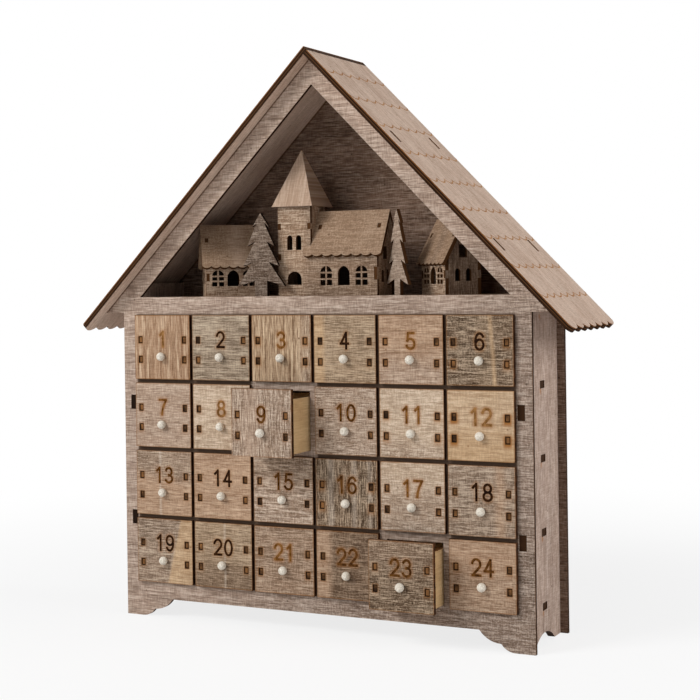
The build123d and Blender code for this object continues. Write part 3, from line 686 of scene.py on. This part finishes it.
# %% Drawer woods
drawer_woods = {
    "tan": board_wood((170, 140, 115), (122, 91, 68), (202, 177, 152), 0.5, 0.2, 1.0, 0.35, 0.2),
    "striped": board_wood((168, 136, 109), (116, 84, 60), (202, 176, 149), 0.95, 0.1, 0.7, 0.3, 0.12),
    "oak": board_wood((172, 144, 116), (96, 68, 46), (212, 187, 157), 1.0, 0.1, 0.7, 0.45, 0.1),
    "golden": board_wood((186, 155, 120), (136, 102, 72), (208, 182, 150), 0.35, 0.2, 0.8, 0.25, 0.15),
    "cream": board_wood((184, 161, 137), (142, 116, 94), (214, 196, 176), 0.25, 0.35, 1.0, 0.35, 0.28),
    "blush": board_wood((170, 145, 125), (122, 96, 78), (202, 183, 165), 0.25, 0.35, 1.2, 0.35, 0.22),
    "moss": board_wood((155, 136, 116), (86, 70, 55), (192, 175, 153), 0.6, 0.3, 1.0, 0.5, 0.2),
    "olive": board_wood((158, 134, 109), (92, 72, 54), (194, 172, 146), 0.55, 0.3, 1.0, 0.5, 0.2),
    "grey": board_wood((146, 123, 104), (80, 63, 50), (194, 176, 156), 0.45, 0.35, 1.1, 0.5, 0.3),
    "washed": board_wood((158, 134, 114), (102, 80, 64), (204, 187, 170), 0.25, 0.4, 1.4, 0.5, 0.38),
    "umber": board_wood((143, 117, 96), (92, 70, 54), (188, 167, 146), 0.3, 0.35, 1.2, 0.45, 0.3),
    "walnut": board_wood((110, 88, 70), (66, 49, 37), (170, 148, 126), 0.45, 0.3, 1.2, 0.45, 0.32),
    "dark": board_wood((108, 87, 69), (54, 40, 29), (186, 165, 141), 0.5, 0.35, 1.3, 0.5, 0.4),
    "chalk": board_wood((196, 181, 164), (140, 120, 103), (218, 207, 194), 0.3, 0.4, 1.0, 0.4, 0.1),
}
woods.update(drawer_woods)
print(len(drawer_woods), "woods for the drawers")

# %% [markdown]
# ## Drawer looks
# Each line is one drawer: its wood, the way the grain runs, the ink of its number, and its bands.
# A band says which way it is measured in degrees, its middle and half width and softness in
# millimetres, its wood, and how strong it is.

# %% Drawer looks
UPRIGHT, LEVEL = (Z, X), (X, Z)
drawer_looks = {
    1: ("striped", UPRIGHT, "faint", []),
    2: ("moss", LEVEL, "black", []),
    3: ("oak", UPRIGHT, "orange", [(0, 22, 6, 5, "washed", 0.5)]),
    4: ("olive", LEVEL, "black", [(0, -22, 6, 2.5, "golden", 0.9)]),
    5: ("tan", LEVEL, "orange", [(90, 6, 12, 9, "blush", 0.8)]),
    6: ("dark", LEVEL, "black", [(4, 10.5, 1.3, 1.3, "golden", 0.8), (0, 4, 5, 4, "olive", 0.4)]),
    7: ("blush", LEVEL, "orange", []),
    8: ("cream", LEVEL, "faint", []),
    9: ("washed", UPRIGHT, "brown", [(0, -9, 6, 4, "blush", 0.7)]),
    10: ("washed", LEVEL, "brown", []),
    11: ("cream", LEVEL, "orange", [(80, 3, 8, 6, "washed", 0.6)]),
    12: ("golden", LEVEL, "faint", [(90, 34, 16, 12, "cream", 0.4)]),
    13: ("tan", LEVEL, "brown", [(82, 40, 13, 6, "grey", 0.9), (0, -3, 0.9, 0.8, "chalk", 0.5)]),
    14: ("tan", LEVEL, "black", []),
    15: ("washed", LEVEL, "brown", [(90, 46, 16, 8, "grey", 0.7)]),
    16: ("dark", UPRIGHT, "brown", [(0, -12, 2, 2, "chalk", 0.4), (0, 6, 1.5, 2, "chalk", 0.4),
                                    (0, 18, 1.2, 2, "chalk", 0.4)]),
    17: ("cream", LEVEL, "orange", [(90, 10, 22, 16, "washed", 0.8)]),
    18: ("grey", LEVEL, "black", [(0, 13, 3, 3, "tan", 0.8)]),
    19: ("grey", LEVEL, "black", [(-14, 13.5, 11, 1.2, "golden", 0.8)]),
    20: ("olive", LEVEL, "black", [(90, 4, 14, 7, "walnut", 0.8), (0, 1.5, 0.8, 0.8, "chalk", 0.4)]),
    21: ("umber", LEVEL, "orange", []),
    22: ("walnut", LEVEL, "brown", [(0, -20, 7, 4, "tan", 0.8)]),
    23: ("dark", LEVEL, "brown", [(90, 44, 16, 9, "umber", 0.5)]),
    24: ("tan", LEVEL, "brown", [(90, 8, 20, 9, "umber", 0.6)]),
}
upright = sum(grain == UPRIGHT for _, grain, _, _ in drawer_looks.values())
print(len(drawer_looks), "drawers, of which", upright, "have upright grain")

# %% [markdown]
# ## Drawer materials
# The front board goes through the wood, its bands and the scorch. A light burn leaves more smoke
# than a deep one, so pale numbers get the stronger halo. The cut edge, the tenon ends, the tray
# boards, the inks and the painted bead are simpler, and shared by all drawers.

# %% Drawer materials
light_burn, deep_burn = 0.65, 0.5


def front_material(number):
    wood, (grain, across), ink, bands = drawer_looks[number]
    place = drawer_place(number)
    stripes = []
    for turn, middle, half, softness, other, amount in bands:
        way = Vector((math.cos(math.radians(turn)), 0, math.sin(math.radians(turn))))
        stripes.append(stripe(other, way, place.x * way.x + place.z * way.z + middle * MM, half * MM,
                              softness * MM, amount))
    material, tree, shader = new_material(drawer_name(number) + "_ply")
    limed, color = limed_board(tree, wood, grain, across, number * 3.7, stripes)
    burn = light_burn if ink in ("orange", "faint") else deep_burn
    color = group_node(tree, scorch, {"Color": color, "Halo": burn})["Color"]
    link_wood(tree, shader, limed, color, relief=0.3)
    return material


def mottled(name, first, second, scale, roughness=0.7, gloss=wood_gloss):
    """A plain material that wanders between two colours."""
    material, tree, shader = new_material(name, gloss)
    cloud = noise(tree, on_piece(tree), (scale, scale, scale), detail=3, roughness=0.6)
    color = mix(tree, ease(tree, cloud, 0.35, 0.65), paint(*first), paint(*second))
    tree.links.new(color, shader.inputs["Base Color"])
    shader.inputs["Roughness"].default_value = roughness
    return material


tray_side = sheet_material("tray_side_ply", "tray", Y, Z, X, layers=0.4, seed=2.9)
tray_floor = sheet_material("tray_floor_ply", "tray", Y, X, Z, layers=0.4, seed=5.9)
tray_end = sheet_material("tray_end_ply", "tray", X, Z, Y, layers=0.4, seed=9.1)
rim = mottled("front_rim", (40, 26, 18), (84, 50, 28), 260)
char = mottled("tenon_char", (12, 8, 6), (26, 17, 11), 400)
ember = mottled("tenon_ember", (48, 33, 22), (136, 94, 57), 75)
inks = {
    "black": mottled("number_black", (26, 13, 6), (54, 31, 14), 300),
    "brown": mottled("number_brown", (60, 34, 12), (102, 66, 32), 300),
    "orange": mottled("number_orange", (88, 54, 22), (132, 90, 48), 260),
    "faint": mottled("number_faint", (104, 70, 36), (152, 110, 66), 260),
}
bead_paint = mottled("bead_paint", (204, 194, 178), (232, 225, 212), 900, roughness=0.5, gloss=0.25)
print("drawer materials ready, with", len(inks), "inks")

# %% [markdown]
# ## Burnt numbers
# The numbers are plain sans-serif digits, burnt by a slow laser pass. A font would bring its own
# shapes, so each digit is drawn here as a few pen strokes in a box 0.6 wide and 1 high. A stroke
# becomes a thin ribbon with square ends that stands a few hundredths of a millimetre proud, each
# a little more than the last, so that no two ribbons share a face where they cross.

# %% Digit strokes
def bow(middle, radius, start, end, steps=14):
    """Points along an oval, from one angle to another in degrees."""
    angles = np.radians(np.linspace(start, end, steps))
    return [(middle[0] + radius[0] * math.cos(a), middle[1] + radius[1] * math.sin(a)) for a in angles]


digit_strokes = {
    "0": [bow((0.3, 0.5), (0.3, 0.5), 0, 360, 29)],
    "1": [[(0.38, 0), (0.38, 1)], [(0.36, 0.98), (0.14, 0.78)]],
    "2": [bow((0.3, 0.7), (0.3, 0.3), 168, -38) + [(0.05, 0.02)], [(0.02, 0), (0.6, 0)]],
    "3": [bow((0.29, 0.745), (0.26, 0.255), 155, -90), bow((0.29, 0.265), (0.3, 0.265), 90, -155)],
    "4": [[(0.44, 0), (0.44, 1)], [(0.42, 0.98), (0.03, 0.32)], [(0, 0.3), (0.6, 0.3)]],
    "5": [[(0.54, 1), (0.13, 1)], [(0.12, 0.98), (0.07, 0.54)], bow((0.29, 0.32), (0.31, 0.32), 140, -155)],
    "6": [bow((0.3, 0.31), (0.29, 0.31), 0, 360, 29), bow((0.32, 0.5), (0.32, 0.5), 180, 40)],
    "7": [[(0, 1), (0.58, 1)], [(0.57, 0.96), (0.38, 0.62), (0.26, 0.3), (0.21, 0)]],
    "8": [bow((0.3, 0.755), (0.25, 0.245), 0, 360, 25), bow((0.3, 0.26), (0.3, 0.26), 0, 360, 29)],
}
box_width = 0.6
digit_strokes["9"] = [[(box_width - x, 1 - y) for x, y in stroke] for stroke in digit_strokes["6"]]
digit_width, digit_pitch, pen_width = 9.6, 8.8, 1.7
pen_rise = number_height - pen_width


def number_strokes(number):
    """The pen strokes of a number, in millimetres on the drawer front."""
    writing = str(number)
    strokes = []
    for place, digit in enumerate(writing):
        middle = (place - (len(writing) - 1) / 2) * digit_pitch
        for stroke in digit_strokes[digit]:
            strokes.append(np.array([(middle + (x - box_width / 2) * digit_width,
                                      number_level + (y - 0.5) * pen_rise) for x, y in stroke]))
    return strokes


print("digits drawn with", sum(len(strokes) for strokes in digit_strokes.values()), "strokes")

# %% Number ribbons
ribbon_proud, ribbon_step, ribbon_sunk = 0.05, 0.01, 0.3


def to_mesh(bm, name):
    """Turn the faces outwards and make the mesh."""
    bmesh.ops.recalc_face_normals(bm, faces=bm.faces)
    mesh = bpy.data.meshes.new(name)
    bm.to_mesh(mesh)
    bm.free()
    return mesh


def number_mesh(number):
    """Each stroke as a thin solid ribbon, with its front towards -y."""
    bm = bmesh.new()
    for index, path in enumerate(number_strokes(number)):
        closed = np.allclose(path[0], path[-1])
        if closed:
            path = path[:-1]
            ahead, behind = np.roll(path, -1, axis=0), np.roll(path, 1, axis=0)
        else:
            ends = path[[0, -1]] - path[[1, -2]]
            path[[0, -1]] += ends / np.linalg.norm(ends, axis=1)[:, None] * pen_width / 2
            ahead, behind = np.vstack([path[1:], path[-1:]]), np.vstack([path[:1], path[:-1]])
        way = (ahead - behind) / np.linalg.norm(ahead - behind, axis=1)[:, None]
        aside = np.stack([-way[:, 1], way[:, 0]], axis=1) * pen_width / 2
        proud = -ribbon_proud - ribbon_step * index
        corners = ((path + aside, proud), (path - aside, proud),
                   (path - aside, ribbon_sunk), (path + aside, ribbon_sunk))
        rings = [[bm.verts.new((points[i][0], depth, points[i][1])) for points, depth in corners]
                 for i in range(len(path))]
        for i in range(len(path) - (not closed)):
            here, there = rings[i], rings[(i + 1) % len(path)]
            for side in range(4):
                bm.faces.new((here[side], here[side - 1], there[side - 1], there[side]))
        if not closed:
            bm.faces.new(rings[0])
            bm.faces.new(rings[-1][::-1])
    return to_mesh(bm, drawer_name(number) + "_number")


numbers = {number: number_mesh(number) for number in drawer_looks}
print("digits of drawer 24 have", len(numbers[24].polygons), "faces")

# %% [markdown]
# ## Front boards
# A front is a grid with four holes, finest round the number, so that the halo of the number and
# the dark rings of the slots can be stored on its vertices. The open edges are pulled back to
# give the thickness, and become the burnt rim.

# %% Front boards
fine_step, coarse_step = 0.5, 1.1
number_across, number_up = (-10, 10), (22, 39)


def lines(low, high, stops, fine):
    """Grid lines that pass through every stop, and lie closer within the fine stretch."""
    marks = sorted({low, high, *stops, *fine})
    spread = []
    for a, b in zip(marks, marks[1:]):
        step = fine_step if fine[0] <= a and b <= fine[1] else coarse_step
        spread.append(np.linspace(a, b, max(1, round((b - a) / step)), endpoint=False))
    return [*np.concatenate(spread), high]


def slot_distance(x, z):
    """How far a point of the face is from the nearest slot."""
    return min(math.hypot(max(abs(x - sx) - slot_half[0], 0), max(abs(z - sz) - slot_half[1], 0))
               for sx, sz in slots)


def front_mesh():
    slot_sides = [sx + d * slot_half[0] for sx, _ in slots for d in (-1, 1)]
    slot_ends = [sz + d * slot_half[1] for _, sz in slots for d in (-1, 1)]
    columns = lines(-front_width / 2, front_width / 2, slot_sides, number_across)
    rows = lines(0, front_height, slot_ends, number_up)
    bm = bmesh.new()
    grid = [[bm.verts.new((x, 0, z)) for x in columns] for z in rows]
    for i in range(len(rows) - 1):
        for j in range(len(columns) - 1):
            if slot_distance((columns[j] + columns[j + 1]) / 2, (rows[i] + rows[i + 1]) / 2) > 0:
                bm.faces.new((grid[i][j], grid[i][j + 1], grid[i + 1][j + 1], grid[i + 1][j]))
    bmesh.ops.delete(bm, geom=[v for v in bm.verts if not v.link_faces], context="VERTS")
    pulled = bmesh.ops.extrude_edge_only(bm, edges=[e for e in bm.edges if e.is_boundary])["geom"]
    for item in pulled:
        if isinstance(item, bmesh.types.BMVert):
            item.co.y = board
        elif isinstance(item, bmesh.types.BMFace):
            item.material_index = 1
    bmesh.ops.triangle_fill(bm, edges=[e for e in bm.edges if e.is_boundary], use_beauty=True)
    return to_mesh(bm, "drawer_front")


print("slots of", [round(2 * half, 1) for half in slot_half], "mm")

# %% [markdown]
# ## Halos on the fronts
# The smoke of a number fades over a few millimetres. The smoke of a slot hangs below it, more on
# some fronts than on others. Both go into one value for each vertex, and the dark rings round
# the slots and along the border into another. Lengths are in millimetres.

# %% Fronts with their numbers
number_reach, number_fade = 2.4, 1.6
ring_width, border_burn, border_width = 1.2, 0.75, 1.1
smoke_drop, smoke_reach = 1.1, 2.8
slot_smoke = {3: 0.6, 6: 0.6, 11: 0.8, 12: 1.6, 16: 0.8, 24: 0.5}
little_smoke = 0.25
out_of_reach = 99.0


def pen_distance(spots, number):
    """How far each spot of the face is from the pen's middle line."""
    nearest = np.full(len(spots), out_of_reach)
    for path in number_strokes(number):
        for start, end in zip(path, path[1:]):
            run = end - start
            share = np.clip((spots - start) @ run / (run @ run), 0, 1)
            nearest = np.minimum(nearest, np.linalg.norm(spots - start - share[:, None] * run, axis=1))
    return nearest


def store_halos(mesh, number):
    """Write how near each vertex is to the number or its smoke, and to a cut edge."""
    spots = np.array([(v.co.x, v.co.z) for v in mesh.vertices])
    away = np.maximum(pen_distance(spots, number) - pen_width / 2, 0)
    number_halo = np.maximum(1 - away / number_reach, 0) ** number_fade
    cut_halo = []
    for i, (x, z) in enumerate(spots):
        border = min(front_width / 2 - abs(x), z, front_height - z)
        cut_halo.append(max(1 - slot_distance(x, z) / ring_width, border_burn - border / border_width, 0))
        below = max(1 - slot_distance(x, z + smoke_drop) / smoke_reach, 0)
        number_halo[i] = max(number_halo[i], below * slot_smoke.get(number, little_smoke))
    for name, values in (("number_halo", number_halo), ("cut_halo", cut_halo)):
        mesh.attributes.new(name, "FLOAT", "POINT").data.foreach_set("value", values)


blank = front_mesh()
for number, (_, _, ink, _) in drawer_looks.items():
    drawer = drawer_name(number)
    mesh = blank.copy()
    store_halos(mesh, number)
    mesh.materials.append(front_material(number))
    mesh.materials.append(rim)
    front = piece(drawer + "_front", settle(mesh, number), drawer)
    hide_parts(drawer)
    digits = settle(numbers[number], number)
    digits.materials.append(inks[ink])
    piece(drawer + "_number", digits, drawer)
bpy.data.meshes.remove(blank)
print("24 fronts of", len(mesh.polygons), "faces")

# %% [markdown]
# ## Trays
# Each board of the tray is an outline with a thickness. Its two big faces are plain birch, its
# edges are burnt, and the tenon ends that show in the front get a dark ring round brown wood.

# %% Trays
SIDE, FLOOR, END, CHAR, EMBER = range(5)
char_ring = 0.6


def add_board(bm, outline, axis, low, high, material):
    """Add a flat board: an outline in the two other axes, between low and high on this axis."""
    def corner(level, point):
        spot = list(point)
        spot.insert(axis, level)
        return bm.verts.new(spot)
    rings = [[corner(level, point) for point in outline] for level in (low, high)]
    faces = [bm.faces.new(ring) for ring in rings]
    for i in range(len(outline)):
        j = (i + 1) % len(outline)
        faces.append(bm.faces.new((rings[0][i], rings[0][j], rings[1][j], rings[1][i])))
    for face in faces:
        face.material_index = material


def tray_mesh():
    inner = tray_half - board
    notch, notch_low, notch_high = tray_back - board, finger_low - slot_room, finger_high + slot_room
    side_outline = [(board, tray_low), (tray_back, tray_low), (tray_back, notch_low), (notch, notch_low),
                    (notch, notch_high), (tray_back, notch_high), (tray_back, tray_high), (board, tray_high)]
    for level in sorted(tenon_levels, reverse=True):
        top, bottom = level + tenon_height / 2, level - tenon_height / 2
        side_outline += [(board, top), (tenon_recess, top), (tenon_recess, bottom), (board, bottom)]
    right_half = [(inner, tray_low), (inner, finger_low), (tray_half, finger_low),
                  (tray_half, finger_high), (inner, finger_high), (inner, tray_high)]
    left_half = [(-x, z) for x, z in reversed(right_half)]
    bm = bmesh.new()
    add_board(bm, side_outline, 0, -tray_half, -inner, SIDE)
    add_board(bm, side_outline, 0, inner, tray_half, SIDE)
    add_board(bm, left_half[-1:] + right_half + left_half[:-1], 1, notch, tray_back, END)
    floor_outline = [(-inner, board), (inner, board), (inner, notch), (-inner, notch)]
    add_board(bm, floor_outline, 2, tray_low, tray_low + board, FLOOR)
    bmesh.ops.recalc_face_normals(bm, faces=bm.faces)
    bm.faces.ensure_lookup_table()
    ends = [f for f in bm.faces if all(abs(v.co.y - tenon_recess) < 0.01 for v in f.verts)]
    rings = bmesh.ops.inset_individual(bm, faces=ends, thickness=char_ring, depth=0)["faces"]
    for faces, material in ((rings, CHAR), (ends, EMBER)):
        for face in faces:
            face.material_index = material
    mesh = to_mesh(bm, "tray")
    for material in (tray_side, tray_floor, tray_end, char, ember):
        mesh.materials.append(material)
    return mesh


blank = tray_mesh()
for number in drawer_looks:
    drawer = drawer_name(number)
    tray = piece(drawer + "_tray", settle(blank.copy(), number), drawer)
bpy.data.meshes.remove(blank)
print("24 trays of", len(tray.data.polygons), "faces")

# %% [markdown]
# ## Helpers for things that repeat
# Beads and shingle arcs are made by Geometry Nodes: a tree shapes one copy, sets it on every
# point, and turns the copies into real faces with a material. The tree runs as a modifier on
# loose points, and the plain mesh that comes out is kept.

# %% Geometry helpers
def vertex_axes(tree):
    position = put(tree, "GeometryNodeInputPosition").outputs[0]
    return put(tree, "ShaderNodeSeparateXYZ", {0: position}).outputs


def reshape(tree, geometry, x, y, z):
    """Move every vertex to the place that the three numbers give."""
    place = put(tree, "ShaderNodeCombineXYZ", {0: x, 1: y, 2: z}).outputs[0]
    return put(tree, "GeometryNodeSetPosition", {"Geometry": geometry, "Position": place}).outputs[0]


def set_on_points(tree, given, result, shape, **turn):
    """Set a shape on every point, make it real, give it its material and hand it out."""
    copies = put(tree, "GeometryNodeInstanceOnPoints", {
        "Points": given["Geometry"], "Instance": shape, **turn})
    real = put(tree, "GeometryNodeRealizeInstances", {"Geometry": copies.outputs[0]})
    done = put(tree, "GeometryNodeSetMaterial", {"Geometry": real.outputs[0], "Material": given["Finish"]})
    tree.links.new(done.outputs[0], result["Geometry"])


def grown(name, points, tree, inputs):
    """Run a Geometry Nodes tree on loose points and give back the plain mesh it makes."""
    seeds = bpy.data.meshes.new(name + "_points")
    seeds.from_pydata(points, [], [])
    seedling = stand(name, seeds)
    modifier = seedling.modifiers.new(tree.name, "NODES")
    modifier.node_group = tree
    for socket in tree.interface.items_tree:
        if socket.in_out == "INPUT" and socket.name in inputs:
            modifier[socket.identifier] = inputs[socket.name]
    made = bpy.data.meshes.new_from_object(seedling.evaluated_get(bpy.context.evaluated_depsgraph_get()))
    bpy.data.objects.remove(seedling)
    made.name = name
    return made


print("geometry helpers ready")

# %% [markdown]
# ## Bead knobs
# The knobs are turned wooden beads, dipped white and glued on by a flat side. The string hole
# shows as a dimple in front, and on a few beads it is not filled with paint. One tree makes the
# bead at a point, with its sizes as inputs.

# %% Bead tree
bead, given, result = new_group(
    "bead",
    [("Geometry", "Geometry", None), ("Diameter", "Float", 0.006), ("Length", "Float", 0.005),
     ("Hole", "Float", 0.001), ("Finish", "Material", None)],
    [("Geometry", "Geometry")], kind="GeometryNodeTree")
g = bead
radius = times(g, given["Diameter"], 0.5)
ball = put(g, "GeometryNodeMeshUVSphere", {"Segments": 24, "Rings": 16, "Radius": radius}).outputs["Mesh"]
turned = put(g, "GeometryNodeTransform", {"Geometry": ball, "Rotation": (math.pi / 2, 0, 0)}).outputs[0]
spot = vertex_axes(g)
hole_wall = ease(g, hypotenuse(g, spot["X"], spot["Z"]), 0.0, given["Hole"])
sunk = times(g, minus(g, 1.0, hole_wall), given["Hole"])
dimpled = plus(g, spot["Y"], times(g, sunk, maths(g, "LESS_THAN", spot["Y"], 0.0)))
seated = maths(g, "MINIMUM", plus(g, dimpled, minus(g, radius, given["Length"])), 0.0)
shape = reshape(g, turned, spot["X"], seated, spot["Z"])
smooth = put(g, "GeometryNodeSetShadeSmooth", {0: shape, "Shade Smooth": True}).outputs[0]
set_on_points(g, given, result, smooth)
print("tree:", g.name)

# %% Beads
small_hole, open_hole = 0.5 * MM, 1.1 * MM
open_beads = (3, 10, 13, 14)
for number in drawer_looks:
    drawer = drawer_name(number)
    middle = drawer_place(number) + Vector((0, 0, knob_level * MM))
    mesh = grown(drawer + "_bead", [middle], bead, {
        "Diameter": knob_diameter * MM, "Length": knob_length * MM,
        "Hole": open_hole if number in open_beads else small_hole, "Finish": bead_paint})
    piece(drawer + "_bead", mesh, drawer)
print("24 beads of", len(mesh.polygons), "faces")

# %% [markdown]
# ## Engraved shingles
# Nine rows of small arcs are burnt across each slope of the roof, seven to a row, in step with
# the scallops of the eave. The tree bends a narrow closed strip to an arc, and the field of
# points lays the arcs on the slope, half sunk in the sheet.

# %% Shingle tree
shingles, given, result = new_group(
    "shingles",
    [("Geometry", "Geometry", None), ("Arc Width", "Float", 0.0136), ("Arc Drop", "Float", 0.0036),
     ("Line", "Float", 0.001), ("Depth", "Float", 0.0001), ("Turn", "Rotation", None),
     ("Finish", "Material", None)],
    [("Geometry", "Geometry")], kind="GeometryNodeTree")
g = shingles
size = put(g, "ShaderNodeCombineXYZ", {0: given["Arc Width"], 1: given["Line"], 2: given["Depth"]}).outputs[0]
strip = put(g, "GeometryNodeMeshCube", {
    "Size": size, "Vertices X": 11, "Vertices Y": 2, "Vertices Z": 2}).outputs["Mesh"]
spot = vertex_axes(g)
share = maths(g, "DIVIDE", spot["X"], times(g, given["Arc Width"], 0.5))
drop = times(g, minus(g, 1.0, times(g, share, share)), given["Arc Drop"])
arc = reshape(g, strip, spot["X"], minus(g, spot["Y"], drop), spot["Z"])
set_on_points(g, given, result, arc, Rotation=given["Turn"])
print("tree:", g.name)

# %% Shingle rows
first_row, row_step, row_count, arc_count = 23.4 * MM, 27.45 * MM, 9, 7
shingle_burn = mottled("shingle_burn", (150, 104, 66), (192, 146, 104), 380)
roof_front, roof_back = (corner.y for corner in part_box("left_roof"))
arc_width = (roof_back - roof_front) / arc_count
for name, side in (("left_roof", -1), ("right_roof", 1)):
    outward, down = slope_ways(side)
    turn = Matrix(((-down).cross(outward), -down, outward)).transposed().to_euler()
    points = [Vector((0, roof_front + arc_width * (arc + 0.5), ridge)) + down * (first_row + row_step * row)
              for row in range(row_count) for arc in range(arc_count)]
    mesh = grown(name + "_shingles", points, shingles, {
        "Arc Width": arc_width, "Arc Drop": 3.4 * MM, "Line": 1.2 * MM, "Depth": 0.12 * MM,
        "Turn": turn, "Finish": shingle_burn})
    piece(name + "_shingles", mesh, "case")
print("shingle rows:", row_count, "per slope,", len(mesh.polygons), "faces")

# %% [markdown]
# ## Studio
# A pale floor under a white sky, and three soft lamps: the main one from the upper left, a wide
# one from the front that reaches into the village, and one from the right. Floor and sky are
# white only for rays that reach the camera or a mirror, and light the wood at a lower level. Near
# the calendar the floor is a little less white, so that its shadow stays.

# %% Floor, sky and lamps
floor_half, near_white, sky_light = 6, 0.8, 0.2


def seen(tree):
    """1 for the rays that show the background in the picture, in a mirror or in glass."""
    rays = put(tree, "ShaderNodeLightPath").outputs
    bent = maths(tree, "MAXIMUM", rays["Is Glossy Ray"], rays["Is Transmission Ray"])
    return maths(tree, "MAXIMUM", rays["Is Camera Ray"], bent)


floor_mesh = bpy.data.meshes.new("floor")
corners = [(x * floor_half, y * floor_half, 0) for x, y in ((-1, -1), (1, -1), (1, 1), (-1, 1))]
floor_mesh.from_pydata(corners, [], [(0, 1, 2, 3)])
floor = stand("floor", floor_mesh)
floor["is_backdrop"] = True
floor_paint, tree, matt = new_material("floor_paint", gloss=0.5)
matt.inputs["Base Color"].default_value = grey(0.85)
matt.inputs["Roughness"].default_value = 0.9
glow = put(tree, "ShaderNodeEmission", {"Color": grey(1.0), "Strength": 1.0})
away = vectors(tree, "LENGTH", on_piece(tree), output="Value")
whiteness = plus(tree, times(tree, ease(tree, away, 0.2, 0.8), 1 - near_white), near_white)
share = times(tree, seen(tree), whiteness)
blend = put(tree, "ShaderNodeMixShader", {0: share, 1: matt.outputs[0], 2: glow.outputs[0]})
tree.links.new(blend.outputs[0], tree.nodes["Material Output"].inputs["Surface"])
floor_mesh.materials.append(floor_paint)

sky = bpy.data.worlds.new("sky")
sky.use_nodes = True
bpy.context.scene.world = sky
tree = sky.node_tree
background = tree.nodes["Background"]
background.inputs["Color"].default_value = grey(1.0)
strength = plus(tree, times(tree, seen(tree), 1 - sky_light), sky_light)
tree.links.new(strength, background.inputs["Strength"])


def lamp(name, place, target, size, power):
    """A square soft lamp, in metres and watts, that points at a target."""
    data = bpy.data.lights.new(name, "AREA")
    data.size = size
    data.energy = power
    made = stand(name, data)
    made.location = place
    made.rotation_euler = (Vector(target) - Vector(place)).to_track_quat("-Z", "Y").to_euler()


lamp("main_lamp", (-1.05, -1.5, 1.45), (0, 0, 0.2), 0.9, 34)
lamp("front_lamp", (-0.25, -2.4, 0.7), (0, 0, 0.25), 1.4, 9)
lamp("side_lamp", (1.7, 0.1, 0.9), (0, 0, 0.25), 1.0, 17)
bpy.context.scene.view_settings.view_transform = "Standard"
print("studio ready with", len(bpy.data.lights), "lamps")

# %% [markdown]
# ## Size of the dressed model
# The box of the dressed model is printed at the end, beside the box of the measured one printed at the start.

# %% Sizes and finish
low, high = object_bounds()
print("visual box in mm:", [round(v / MM, 1) for v in (*low, *high)])
